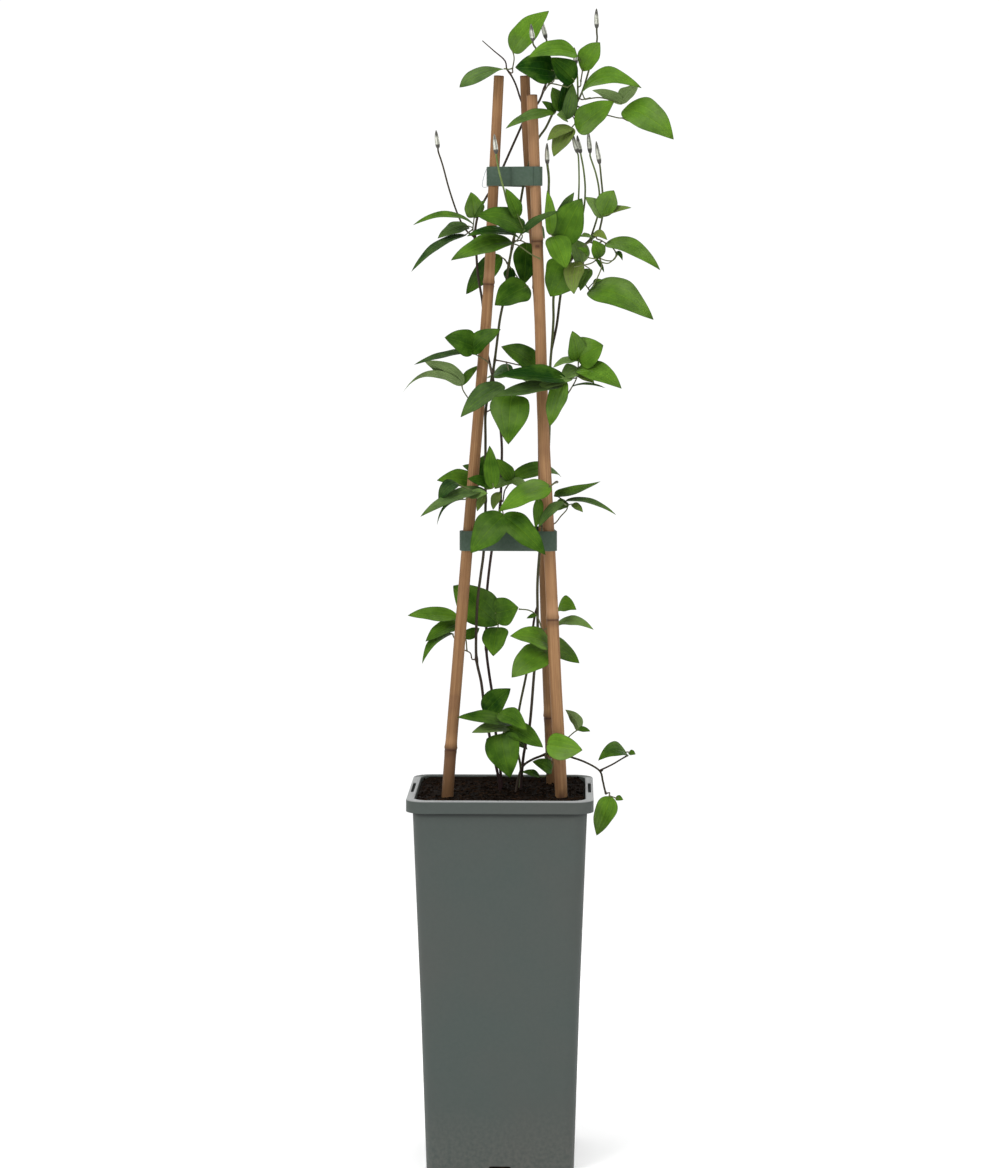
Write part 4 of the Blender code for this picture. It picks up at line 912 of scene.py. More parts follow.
def add_overlap(piece):
    """The strip's outer end: a second layer that lies on the front run from the crease to the end."""
    low, height = BANDS["band_upper"]
    line, normal = band_loop(low, BAND_GAP + BAND_THICKNESS)
    front = (line[:, 1] < 0) & (line[:, 0] > OVERLAP[0]) & (line[:, 0] < OVERLAP[1])
    line, normal = line[front], normal[front]
    section = strip_section(height - 0.3, 0.55)
    xy = line[:, None] + normal[:, None] * section[None, :, 0, None]
    z = np.broadcast_to(low + 0.15 + section[None, :, 1], xy.shape[:2])
    grid = np.concatenate([xy, z[..., None]], axis=-1)[::-1]
    rows, cols = grid.shape[:2]
    points = np.vstack([grid.reshape(-1, 3), grid[0].mean(axis=0), grid[-1].mean(axis=0)])
    piece.add(points, [ring_faces(rows, cols), cap_faces(rows, cols)], tone=0.0)


def add_tie(piece):
    """A thin clear thread that loops out beside the left cane at the upper band."""
    loop = [(-8.3, -5, 636), (-9.6, -6, 634), (-11.2, -7, 629), (-12.0, -7, 624.5), (-11.2, -7, 623.2),
            (-9.0, -6, 623.4), (-7.9, -5, 624.2)]
    add_tube(piece, smooth_path(loop, 0.7), 0.22, sides=6, slot=1)


# %% Band finish and pieces
def band_plastic():
    """Grey green with clouds and rubs, darker by the painted tone, which holds painted shade, and paler on
    the rubbed edges.
    """
    made, tree, shader, where = new_material("band plastic", specular=0.2)
    clouds = place(tree, BLOTCHES, Vector=where, Scale=60.0, Detail=3.0)
    rubs = place(tree, BLOTCHES, Vector=where, Scale=700.0, Detail=2.0)
    colour = mix_colours(tree, clouds, (0.048, 0.083, 0.056), (0.072, 0.112, 0.076))
    colour = tint(tree, colour, rubs, 0.15, (0.16, 0.20, 0.18))
    colour = mix_colours(tree, painted(tree, "tone"), colour, (0.014, 0.024, 0.014))
    colour = tint(tree, colour, painted(tree, "mark"), 0.35, (0.2, 0.25, 0.23))
    set_finish(tree, shader, colour, remap(tree, clouds, 0.0, 1.0, 0.38, 0.5))
    add_bump(tree, shader, place(tree, GRAIN, Vector=where, Scale=900.0), 0.00008)
    return made


def clear_thread():
    """Pale blue grey with clouds."""
    made, tree, shader, where = new_material("clear thread", roughness=0.3)
    clouds = place(tree, BLOTCHES, Vector=where, Scale=500.0)
    colour = mix_colours(tree, clouds, (0.30, 0.34, 0.36), (0.55, 0.58, 0.60))
    tree.links.new(colour, shader.inputs["Base Color"])
    return made


band_finish, thread_finish = band_plastic(), clear_thread()
for name in BANDS:
    piece = Piece()
    add_band(piece, name)
    if name == "band_upper":
        add_overlap(piece)
        add_tie(piece)
    band = piece.build(name, [band_finish, thread_finish], "band")
    print(name + ":", triangles(band), "triangles")

# %% [markdown]
# ## The plant's layout
# Three stems climb from the soil and a fourth trails out to the right. The tables give each stem's
# radius and the points it passes, the buds with their stalks, and the sprays: a spray is one leaf stalk
# with its branches and leaves. A leaf has its base, tip, width, the angle that its upper side turns
# to the front, and how far it arches. They are the same points as in the CAD part, in millimetres.

# %% Stems, buds and sprays
# Stems: for each branch its radius at the foot and at the end, and the points that it passes.
# A branch after the first starts on the nearest point of those before it.
STEMS = {
    "vine_left": [
        (0.9, 0.7, [(-1, 8, 225), (-1, 8, 234), (-2, 7, 245), (-7, 4, 269), (-11, 2, 292), (-13, 1, 308),
            (-16, 0, 323), (-16, -5, 342), (-15, -7, 362), (-13, -8, 378), (-11, -9, 394), (-10, -8, 419),
            (-10, -7, 445), (-10, -6, 464), (-10, -5, 481), (-8, -3, 494), (-5, -2, 509), (-3, -1, 524),
            (-1, 0, 540), (2, 1, 555), (4, 1, 571), (7, 1, 587), (10, 1, 602), (12, 2, 614), (14, 2, 625),
            (17, 2, 637), (22, 4, 652), (28, 4, 661), (33, 4, 671), (37, 3, 675), (42, 2, 673),
            (47, 0, 668)]),
    ],
    "vine_middle": [
        (0.9, 0.7, [(1, 16, 222), (0, 16, 233), (-1, 14, 249), (-4, 10, 275), (-6, 6, 299), (-8, 8, 312),
            (-10, 11, 328), (-10, 13, 347), (-10, 13, 360), (-8, 6, 380), (-5, -3, 400), (-1, -3, 419),
            (0, 0, 444), (0, 2, 463), (-3, 5, 489), (-7, 6, 509), (-11, 6, 528), (-12, 4, 549),
            (-15, 3, 568), (-16, 3, 581), (-17, 4, 593), (-15, 5, 606), (-10, 6, 617), (-4, 9, 626),
            (1, 11, 637), (9, 14, 655), (16, 17, 670), (23, 13, 677), (27, 8, 686), (29, 5, 692)]),
        (0.6, 0.55, [(16, 17, 670), (12, 16, 679), (9, 13, 688), (6, 8, 694), (3, 4, 698)]),
        (0.5, 0.3, [(3, 4, 698), (2, 2, 703), (-5, 0, 709), (-12, -2, 715)]),
    ],
    "vine_right": [
        (0.9, 0.75, [(12, 12, 222), (12, 12, 233), (14, 12, 259), (18, 11, 279), (21, 9, 315), (23, 9, 334),
            (23, 10, 352), (23, 10, 373), (25, 10, 399), (28, 8, 425), (30, 6, 457), (31, 5, 489),
            (31, 4, 510), (32, 4, 524), (33, 4, 540), (33, 4, 554), (35, 3, 571), (35, 1, 590),
            (32, -1, 604), (30, -2, 618), (30, -2, 629), (29, -2, 638)]),
        (0.8, 0.8, [(23, 10, 356), (21, 11, 349), (19, 12, 334), (16, 13, 313), (11, 16, 288), (9, 18, 268),
            (12, 20, 250), (11, 22, 232), (11, 22, 221)]),
        (0.8, 0.7, [(32, 4, 521), (35, 6, 536), (37, 7, 552), (39, 8, 565), (43, 8, 576), (50, 8, 585),
            (56, 6, 590), (62, 2, 595)]),
    ],
    "vine_trailing": [
        (0.8, 0.6, [(9, 3, 224), (9, 3, 235), (11, 7, 246), (14, 9, 253), (20, 10, 257), (25, 10, 259),
            (30, 9, 261), (36, 6, 262), (44, 1, 260), (54, -3, 257), (63, -6, 252), (65, -9, 246),
            (66, -13, 242), (67, -18, 239)]),
        (0.6, 0.5, [(63, -6, 252), (71, -6, 256), (76, -6, 259), (81, -6, 262)]),
        (0.5, 0.4, [(63, -7, 251), (65, -10, 253), (65, -11, 254)]),
    ],
}
BUDS = [
    ("vine_middle", (-41, -4, 659), [(-17, 4, 592), (-23, 4, 597), (-28, 2, 607), (-33, -2, 622),
        (-37, -4, 637), (-40, -4, 648)]),
    ("vine_middle", (19, -17, 724), [(29, 5, 691), (25, -3, 700), (22, -10, 709), (20, -14, 714)]),
    ("vine_middle", (25, 4, 730), [(29, 5, 691), (29, 8, 702), (28, 8, 710), (28, 6, 717)]),
    ("vine_left", (60, 0, 735), [(45, 1, 671), (51, 8, 684), (56, 6, 700), (60, 1, 714), (60, 0, 723)]),
    ("vine_left", (46, 2, 711), [(46, 0, 669), (48, 1, 678), (48, 2, 691), (47, 2, 701)]),
    ("vine_left", (-4, -13, 656), [(10, 1, 599), (8, -4, 605), (4, -9, 613), (2, -14, 621), (-1, -16, 632),
        (-3, -14, 644)]),
    ("vine_right", (29, -2, 651), []),
    ("vine_right", (45, -4, 657), [(42, 8, 573), (45, 2, 587), (48, -2, 606), (49, -3, 622), (49, -3, 634),
        (48, -3, 645)]),
    ("vine_right", (48, 1, 656), [(45, 8, 578), (48, 8, 593), (52, 4, 609), (53, 2, 622), (52, 1, 634),
        (50, 1, 645)]),
    ("vine_right", (55, 2, 659), [(56, 6, 590), (61, 6, 606), (62, 5, 619), (60, 3, 631), (56, 2, 645)]),
    ("vine_right", (60, -4, 652), [(62, 2, 595), (64, -1, 606), (64, -3, 618), (63, -4, 629),
        (62, -4, 638)]),
]
SPRAYS = {
    "spray_low_single": ("vine_left", [
        [(-11, 2, 289), (-12, -2, 288), (-10, -4, 289)],
    ], [
        ((-10, -4, 289), (6, -7, 305), 16, 70, 0.1),
    ]),
    "spray_low_middle": ("vine_middle", [
        [(-3, 11, 268), (1, 5, 269), (1, -2, 272), (4, -12, 281), (7, -14, 284)],
        [(1, 4, 270), (3, 12, 268), (2, 21, 267), (0, 27, 267)],
        [(4, -11, 280), (1, -16, 277), (0, -20, 277)],
        [(3, -8, 278), (1, -15, 284), (-1, -18, 290)],
    ], [
        ((8, -14, 285), (-27, -36, 290), 14, 28, 0.02),
        ((6, -13, 279), (-18, -34, 280), 12, 32, 0.04),
        ((-1, -18, 290), (17, -29, 281), 13, 55, 0.18),
        ((6, -12, 281), (27, -28, 270), 15, 50, 0.04),
        ((0, -20, 277), (6, -25, 250), 23, 86, 0.1, 0.24),
        ((0, 26, 267), (-10, 50, 256), 14, -50, 0.1),
        ((0, 27, 268), (16, 48, 258), 15, -60, 0.2),
    ]),
    "spray_low_right": ("vine_trailing", [
        [(32, 8, 261), (32, -4, 259), (29, -18, 263), (30, -27, 272)],
        [(32, 4, 259), (38, -5, 268), (42, -9, 273), (47, -13, 278), (50, -15, 280)],
    ], [
        ((30, -27, 273), (52, -33, 269), 17, 82, 0.1),
        ((50, -15, 280), (41, -11, 292), 9, -60, 0.2),
    ]),
    "spray_low_small": ("vine_trailing", [
        [(28, 9, 260), (33, 4, 256), (32, 1, 251)],
        [(32, 2, 252), (28, 2, 247), (23, 3, 247)],
    ], [
        ((32, 1, 251), (20, -8, 258), 10, 50, 0.1),
        ((24, 3, 247), (13, 0, 250), 7, 30, 0.1),
    ]),
    "spray_trail_upper": ("vine_trailing", [
        [(81, -6, 262), (82, -6, 264), (84, -6, 263)],
    ], [
        ((81, -7, 263), (62, -16, 260), 14, 38, 0.28),
    ]),
    "spray_trail_lower": ("vine_trailing", [
        [(67, -18, 239), (69, -20, 238), (70, -22, 237)],
        [(69, -20, 238), (73, -22, 237), (75, -24, 237)],
    ], [
        ((70, -22, 237), (61, -30, 214), 14, 80, 0.1),
    ]),
    "spray_second_left": ("vine_left", [
        [(-16, 0, 323), (-20, 0, 327), (-25, -2, 330), (-30, -5, 337), (-31, -6, 340)],
        [(-22, -1, 328), (-23, -2, 337), (-27, -4, 345), (-28, -6, 351)],
    ], [
        ((-31, -6, 340), (-50, -18, 322), 9, 35, 0.2),
        ((-28, -5, 346), (-48, -16, 336), 13, 45, 0.1),
        ((-28, -6, 351), (-59, -20, 353), 13, 38, 0.02),
        ((-23, -0.5, 338), (-14, 0.3, 343), 7.5, 80, 0.0),
    ]),
    "spray_second_middle": ("vine_middle", [
        [(-10, 11, 329), (-7, 6, 332), (-3, 2, 339), (-2, 1, 346)],
    ], [
        ((-2, 3, 347), (-31, 3, 370), 24, 82, 0.03, 0.45),
        ((-5, 2, 352), (11, -7, 357), 19, 80, 0.1, 0.45),
        ((-2, 1, 343), (-5, -10, 326), 17, 75, 0.1),
    ]),
    "spray_second_right": ("vine_right", [
        [(21, 9, 318), (25, 0, 323), (28, -10, 329)],
        [(27, -8, 327), (31, -10, 333)],
    ], [
        ((28, -10, 329), (7, -24, 314), 20, 62, 0.1),
        ((30.5, -10.5, 334), (6, -24.5, 340.5), 17, 41, 0.12),
    ]),
    "spray_second_behind": ("vine_right", [
        [(23, 9, 340), (26, 4, 341), (30, 3, 343), (35, 2, 344)],
        [(30, 3, 343), (33, 4, 351), (37, 5, 356)],
        [(26, 4, 341), (26, 3, 336), (25, 2, 332)],
    ], [
        ((25, 2, 331), (50, -4, 321), 16, 48, 0.12),
        ((35, 2, 345), (59, -8, 343), 10, 32, 0.2),
        ((36, 5, 358), (48, 0, 355), 13, 52, 0.35),
    ]),
    "spray_third_left": ("vine_left", [
        [(-10, -8, 426), (-10, -13, 429), (-11, -19, 433)],
        [(-10, -13, 429), (-13, -8, 431), (-15, -1, 434), (-16, 2, 435)],
        [(-11, -18, 433), (-19, -22, 433), (-28, -22, 437)],
    ], [
        ((-5, -21, 434), (-7, -23, 461), 10.5, 80, 0.1),
        ((-16, 2, 436), (-8, 4, 455), 13, 75, 0.1),
        ((-11, -20, 434), (-50, -38, 417), 13, 32, 0.08),
        ((-16, 2, 435), (-41, -6, 438), 15, 50, 0.15),
        ((-28, -22, 437), (-39, -28, 426), 10, 60, 0.3),
        ((-13, 6, 441), (-25, 4, 447), 8, 55, 0.1),
        ((-20, -23, 429), (-8, -26, 431), 8, 50, 0.1),
        ((-5, -18, 435), (-21, -22, 440), 9.5, 50, 0.1),
        ((-9, -14, 428), (-15, -17, 419), 6, 60, 0.1),
    ]),
    "spray_third_middle": ("vine_middle", [
        [(-1, -3, 425), (2, 2, 431), (5, 14, 435), (6, 29, 436)],
        [(3, 5, 433), (5, 1, 436), (6, -4, 438)],
    ], [
        ((6, -4, 438), (-3, -8, 452), 10, 60, 0.1),
        ((6, 29, 437), (38, 54, 437), 14, 35, 0.2),
        ((6, -4, 438), (-4, -13, 433), 9, 45, 0.1),
        ((6, 22, 435), (-8, 46, 439), 14, 30, 0.1),
        ((6, 26, 436), (14, 52, 427), 14, -20, 0.1),
        ((7, -6, 439), (18, -14, 432), 8, 45, 0.1),
        ((-1, -13, 431), (-5, -16, 420), 7, 60, 0.1),
    ]),
    "spray_third_front": ("vine_middle", [
        [(-1, -4, 421), (1, -14, 419), (2, -25, 417)],
    ], [
        ((1.5, -26, 419.5), (-18.5, -36, 394), 20.5, 78, 0.1),
        ((4.5, -25, 418.5), (28.5, -35, 393), 16.5, 72, 0.1),
    ]),
    "spray_third_twining": ("vine_right", [
        [(29, 7, 434), (35, 2, 437), (36, -10, 437), (34, -20, 437), (31, -23, 435)],
        [(31, -23, 435), (25, -25, 432)],
    ], [
        ((31, -23, 435), (-1, -36, 420), 18, 50, 0.08),
        ((24, -25, 428), (22, -27, 409), 7, 70, 0.1),
    ]),
    "spray_third_right": ("vine_right", [
        [(26, 10, 409), (34, 4, 410), (38, 0, 415), (42, -3, 420), (41, -4, 425)],
        [(41, -4, 424), (34, -2, 429)],
        [(42, -4, 422), (41, -12, 423), (39, -20, 425)],
    ], [
        ((34, -2, 430), (63, -14, 438), 10, 30, -0.06, 0.27),
        ((41, -4, 425), (73, -20, 417), 8, 25, 0.1, 0.3),
        ((45, -5, 423), (52, -8, 418), 5, 60, 0.1),
        ((39, -20, 425), (24, -34, 410), 8, 50, 0.1),
        ((41, -5, 424), (34, -9, 419), 8, 65, 0.1),
    ]),
    "spray_fourth_left": ("vine_left", [
        [(-5, -2, 507), (-8, -14, 513), (-14, -18, 517), (-19, -18, 520)],
        [(-17, -18, 519), (-17, -18, 523)],
    ], [
        ((-19, -18, 520), (0, -22, 534), 14, 58, 0.1),
        ((-21, -18, 520), (-54, -32, 512), 9, 25, 0.05),
        ((-16, -18, 524), (-35, -28, 529), 18, 66, 0.1),
    ]),
    "spray_fourth_outer": ("vine_left", [
        [(-10, -4, 481), (-15, -3, 485), (-20, -4, 489), (-24, -8, 495), (-25, -9, 499)],
    ], [
        ((-25, -9, 499), (-48, -20, 514), 15, -50, 0.1),
        ((-25, -9, 499), (-61, -26, 495), 9, -30, 0.25),
        ((-25, -9, 500), (-14, -1, 511), 6, 60, 0.1),
    ]),
    "spray_fourth_heart": ("vine_left", [
        [(-9, -6, 482), (-3, -12, 486), (7, -23, 492)],
        [(-6, -9, 484), (-1, -12, 493), (1, -15, 499)],
    ], [
        ((7, -23, 493), (5, -30, 462), 25, 86, 0.1, 0.24),
        ((1, -15, 499), (-25, -30, 479), 15, 58, 0.1),
    ]),
    "spray_fourth_inner": ("vine_left", [
        [(-3, -1, 514), (3, 0, 513), (12, 1, 511), (22, 2, 510)],
        [(3, 0, 513), (5, 12, 506), (6, 18, 504)],
    ], [
        ((23, 2, 510), (0, -9, 523), 16, 64, 0.1),
        ((6, 18, 504), (18, 46, 498), 15, -30, 0.1),
        ((6, 16, 504), (-9, 44, 502), 15, 30, 0.1),
    ]),
    "spray_fourth_right": ("vine_right", [
        [(31, 6, 478), (35, 3, 484), (40, -1, 490), (44, -8, 496), (48, -12, 504), (49, -12, 515)],
        [(48, -12, 503), (44, -19, 503), (40, -21, 502)],
    ], [
        ((41, -20, 503), (-2, -32, 505), 19, 33, 0.03),
        ((39, -22, 499), (-4, -34, 492), 15, 32, 0.03),
        ((45, -19, 504), (20, -27, 494), 11, 40, 0.1),
        ((40, -20, 501), (31, -24, 473), 13, 70, 0.1),
        ((50, -12, 517), (45, -20, 533), 13, 75, 0.1),
        ((49, -12, 517), (64.5, -20, 524), 21, 72, 0.1, 0.45),
        ((50, -12, 509), (76, -28, 497), 17, 50, 0.15),
        ((49, -12, 514), (33, -22, 510), 10, 28, 0.1),
        ((49, -12, 506), (59, -18, 500), 7, 60, 0.1),
        ((49, -13, 509), (38, -20, 502), 12, 55, 0.1),
    ]),
    "spray_fifth_left": ("vine_middle", [
        [(-17, 3, 595), (-18, -3, 597), (-17, -6, 605)],
        [(-18, -3, 597), (-23, -6, 593)],
    ], [
        ((-17, -6, 605), (-19, -12, 620), 13, 72, 0.1),
        ((-17, -6, 605), (-10, -10, 615), 7, 60, 0.1),
        ((-18, -4, 600), (-55, -24, 599), 9, 28, 0.16),
        ((-21, -2, 599), (-40, -12, 591), 12, 45, 0.1),
        ((-23, -5, 592), (-56, -24, 570), 10, 35, 0.1),
    ]),
    "spray_fifth_front": ("vine_left", [
        [(7, 1, 586), (7, -6, 588), (6, -11, 589)],
        [(7, -5, 588), (11, -10, 591), (14, -13, 597)],
        [(7, -6, 588), (12, -14, 586), (19, -15, 581), (25, -15, 578)],
    ], [
        ((6, -11, 589), (-31, -30, 577), 16, 48, 0.1),
        ((10, -12, 591), (-21, -30, 592), 14, 22, 0.1),
        ((14, -13, 598), (-15, -28, 605), 18, 52, 0.1),
        ((11, -15, 604), (3, -22, 622), 9.5, 68, 0.1),
        ((13, -16, 594), (37, -21, 608), 8, 40, 0.08),
    ]),
    "spray_fifth_inner": ("vine_left", [
        [(5, 2, 575), (2, 8, 578), (-1, 13, 580)],
        [(1, 8, 578), (7, 8, 571), (12, 2, 564), (14, -2, 562)],
    ], [
        ((-1, 13, 580), (-23, 15, 556), 14, 76, 0.1),
        ((17, -3, 561), (-4, -12, 549), 20, 66, 0.1),
        ((6, 8, 572), (5, 12, 562), 9, 60, 0.1),
    ]),
    "spray_fifth_shade": ("vine_left", [
        [(8, 2, 590), (12, 3, 590), (16, 5, 588)],
        [(12, 3, 590), (13, 14, 593), (11, 20, 596)],
    ], [
        ((16, 5, 588), (14, 6, 562), 16.5, 76, 0.1),
        ((11, 20, 596), (-2, 46, 601), 16, 40, 0.1),
        ((12, 20, 595), (27, 46, 592), 16, -30, 0.1),
    ]),
    "spray_fifth_round": ("vine_right", [
        [(35, 3, 575), (37, 0, 577), (38, -1, 579)],
    ], [
        ((44, -3, 576.5), (31, -9, 554.5), 25, 84, 0.05),
    ]),
    "spray_fifth_dark": ("vine_right", [
        [(35, 1, 586), (38, -5, 589)],
        [(37, -3, 588), (34, -8, 591), (31, -8, 594)],
    ], [
        ((39, -6, 589), (51, -14, 616), 23, 70, 0.1),
        ((35, -9, 594), (41, -16, 572), 17, 72, 0.1),
        ((31, -8, 594), (29, -12, 621), 8, 70, 0.1),
        ((37, -4, 602), (46, -7, 620), 8, 72, 0.1),
    ]),
    "spray_fifth_curly": ("vine_right", [
        [(60, 4, 593), (63, -1, 590), (66, -5, 588)],
        [(64, -2, 590), (60, -6, 586), (62, -8, 579), (70, -9, 577), (74, -8, 582)],
        [(62, -8, 579), (57, -11, 575.5), (51, -14, 574), (46, -15, 573)],
    ], [
        ((66, -6, 588), (100, -22, 571), 14, 52, 0.16),
        ((62, -8, 579), (58, -12, 590), 11, 60, 0.1),
        ((58, -7, 594), (67, -11, 590), 6, 60, 0.25),
        ((60, -8, 591), (50, -15, 592), 6, 30, 0.1),
    ]),
    "spray_fifth_outer": ("vine_right", [
        [(50, 9, 585), (52, 6, 576), (52, 1, 565), (56, -3, 558)],
        [(52, 6, 576), (50, 0, 576), (48, -6, 576)],
    ], [
        ((56, -4, 558), (96, -22, 540), 22, 60, 0.2),
        ((50, -6, 574), (46, -14, 556), 14, 65, 0.1),
        ((53, 3, 576), (45, -4, 591), 14, 60, 0.1),
        ((56, -5, 572), (50, -11, 558), 9.5, 60, 0.1),
    ]),
    "spray_fifth_tips": ("vine_right", [
        [(64, -1, 606), (64, -4, 605), (64, -8, 605)],
    ], [
        ((64, -9, 605), (71, -12, 621), 15, 70, 0.1, 0.5),
        ((66, -7, 607), (82, -16, 610), 7, 40, 0.1),
        ((63, -5, 607), (53, -9, 617), 10, 62, 0.1),
    ]),
    "spray_top_left": ("vine_middle", [
        [(5, 6, 695), (7, 1, 698), (8, 0, 704), (7, 0, 709)],
        [(7, 1, 698), (5, -5, 697), (2, -9, 697)],
    ], [
        ((7, 0, 710), (30, -8, 733), 17, 70, 0.1),
        ((2, -9, 697), (-26, -16, 685), 13, 48, 0.1, 0.62),
    ]),
    "spray_top_dark": ("vine_middle", [
        [(27, 8, 685), (28, 0, 685), (30, -10, 688), (30, -13, 691)],
        [(30, -10, 688), (35, -11, 687), (42, -15, 685)],
        [(29, -6, 688), (32, -2, 689), (33, 2, 690), (33, 12, 693), (30, 22, 696)],
    ], [
        ((34, -11, 695), (9, -21, 697), 22, 66, 0.1),
        ((46, -13, 689), (31, -20, 703), 16, 70, 0.1),
        ((30, 22, 696), (17, 46, 703), 16, 40, 0.1),
        ((31, 21, 695), (44, 44, 693), 15, -40, 0.1),
    ]),
    "spray_top_bright": ("vine_left", [
        [(48, 2, 686), (50, -3, 687), (50, -6, 690)],
        [(50, -5, 689), (51, -8, 699), (47, -10, 706)],
    ], [
        ((47, -10, 707), (17, -22, 703), 16, 50, 0.15),
        ((50, -7, 696), (62, -13, 713), 15, 68, 0.1, 0.5),
    ]),
    "spray_top_upright": ("vine_left", [
        [(41, 2, 674), (39, -3, 670), (41, -6, 666)],
    ], [
        ((40, -4, 672), (42, -3, 693), 11, 75, 0.1),
        ((41, -6, 666), (45, -6, 688), 9.5, 75, 0.1),
        ((38, -2, 671), (32, 0, 686), 11, 75, 0.1),
        ((42, -7, 664), (35, -13, 668), 9, 50, 0.1),
    ]),
    "spray_top_right": ("vine_left", [
        [(48, 1, 679), (51, -4, 678), (56, -7, 679)],
        [(53, -5, 677), (62, -8, 679), (70, -10, 677), (76, -12, 675)],
    ], [
        ((51, -6, 683), (88, -22, 684), 16.5, 46, 0.26),
        ((76, -12, 676), (57, -18, 683), 10, -40, 0.1),
        ((75, -12, 676), (86, -20, 686), 11, -52, 0.1),
    ]),
    "spray_top_outer": ("vine_left", [
        [(47, 1, 674), (51, -3, 670), (57, -8, 667), (65, -12, 668), (76, -14, 666), (78, -14, 672)],
        [(76, -14, 666), (81, -15, 664), (85, -16, 668)],
    ], [
        ((78, -14, 673), (108, -26, 652), 22.5, 64, 0.2),
    ]),
    "spray_top_low": ("vine_left", [
        [(46, 1, 669), (46, -4, 666), (47, -7, 662), (48, -9, 659)],
        [(47, -6, 663), (44, -8, 660)],
    ], [
        ((48, -8, 658), (71, -18, 676), 18.5, 66, 0.1),
        ((44, -8, 660), (29, -15, 652), 11, 45, 0.1),
        ((45, -8, 659), (33, -13, 642), 13.5, 64, 0.1),
    ]),
    "spray_top_front": ("vine_left", [
        [(33, 4, 671), (34, -4, 670), (33, -9, 669)],
    ], [
        ((33, -9, 669), (3, -22, 659), 11, 40, 0.1),
        ((32, -3, 672), (25.5, -5, 677), 6, 60, 0.1),
    ]),
}


# %% What the tables hold
branch_count = sum(len(branches) for branches in STEMS.values())
leaf_count = sum(len(leaves) for _, _, leaves in SPRAYS.values())
print("layout:", branch_count, "stem branches,", len(BUDS), "buds,", len(SPRAYS), "sprays,",
      leaf_count, "leaves")

# %% [markdown]
# ## Stems
# Clematis stems are thin, ribbed and almost black-purple, and swell a little wherever a leaf stalk
# leaves them; the young stalks of the buds are green. Each stem is a tube with six shallow ribs. Its
# points are remembered, because stalks have to start on the nearest point of the stem they belong to.

# %% A stem that remembers its line
class Line:
    """Points close together on a stem and its branches, with the radius and direction at each."""
    STEPS = 6

    def __init__(self):
        self.points, self.radii, self.along = np.empty((0, 3)), np.empty(0), np.empty((0, 3))

    def add(self, path, radii):
        """Remember a path, with steps between its points."""
        t = np.linspace(0, 1, self.STEPS, endpoint=False)[None, :, None]
        points = (path[:-1, None] * (1 - t) + path[1:, None] * t).reshape(-1, 3)
        along = np.repeat(unit(np.diff(path, axis=0)), self.STEPS, axis=0)
        self.points = np.vstack([self.points, points])
        self.radii = np.r_[self.radii, np.repeat(radii[:-1], self.STEPS)]
        self.along = np.vstack([self.along, along])

    def nearest(self, point):
        """The remembered point nearest to the given one, with its radius and direction."""
        k = np.argmin(np.linalg.norm(self.points - point, axis=1))
        return self.points[k], self.radii[k], self.along[k]


def swellings(path, places, size=1.7):
    """How near each point of the path is to one of the places where something is attached, 0 to 1."""
    gap = np.linalg.norm(path[:, None] - np.array(places)[None], axis=2).min(axis=1)
    return np.exp(-(gap / size) ** 2)


STEM_SIDES, STEM_RIBS = 12, 6
BUD_STALK_RADII = (0.62, 0.55)


def add_stem(piece, line, points, start, end, places, tones):
    """A ribbed tube: radius * (1 + 0.07 cos 6a), thicker at the places; tone runs from foot to end."""
    path = smooth_path(points, 1.8)
    share = path_lengths(path) / path_lengths(path)[-1]
    swell = swellings(path, places)
    radii = (start + (end - start) * share) * (1 + 0.38 * swell)
    ribbed = 1 + 0.07 * np.cos(STEM_RIBS * angles(STEM_SIDES))
    add_tube(piece, path, radii[:, None] * ribbed, STEM_SIDES,
             tone=tones[0] + (tones[1] - tones[0]) * share, mark=swell)
    line.add(path, radii)
    return path


# %% Bud stalks
# From 0 for purple bark to 1 for green, at the foot and at the end of each stem and bud stalk.
STEM_TONES = {"vine_left": (0.0, 0.35), "vine_middle": (0.0, 0.1), "vine_right": (0.0, 0.55),
              "vine_trailing": (0.05, 0.15)}
STALK_TONES = {1: (0.1, 0.12), 2: (0.75, 0.5), 3: (0.3, 0.25), 4: (0.45, 0.2), 5: (0.9, 0.75),
               6: (0.95, 0.9), 8: (0.45, 0.75), 9: (0.4, 0.85), 10: (0.35, 0.85), 11: (0.3, 0.4)}


def straight_end(points, tip):
    """Turn the last stretch of a stalk into line with its bud."""
    points = [np.array(point, float) for point in points]
    axis = unit(np.array(tip, float) - points[-1])
    return points[:-1] + [points[-1] - 2.5 * axis, points[-1]]


def attachments(name):
    """Where sprays and bud stalks leave a stem."""
    found = [stalks[0][0] for owner, stalks, _ in SPRAYS.values() if owner == name]
    found += [points[0] for owner, _, points in BUDS if owner == name and points]
    return np.array(found, float)


def stem_material():
    """Dark purple bark that turns green towards young ends, with fine long ridges."""
    made, tree, shader, where = new_material("stem skin", specular=0.15)
    ridges = place(tree, STREAKS, Round=2.5, Along=0.06)
    spots = place(tree, BLOTCHES, Vector=where, Scale=240.0, Detail=3.0)
    dark = mix_colours(tree, ridges, (0.018, 0.008, 0.010), (0.060, 0.028, 0.030))
    green = mix_colours(tree, spots, (0.13, 0.20, 0.05), (0.24, 0.32, 0.11))
    colour = mix_colours(tree, painted(tree, "tone"), dark, green)
    colour = tint(tree, colour, painted(tree, "mark"), 0.5, (0.06, 0.035, 0.025))
    set_finish(tree, shader, colour, remap(tree, ridges, 0.0, 1.0, 0.45, 0.65))
    add_bump(tree, shader, add_part(tree, ridges, spots, 0.4), 0.00012)
    return made


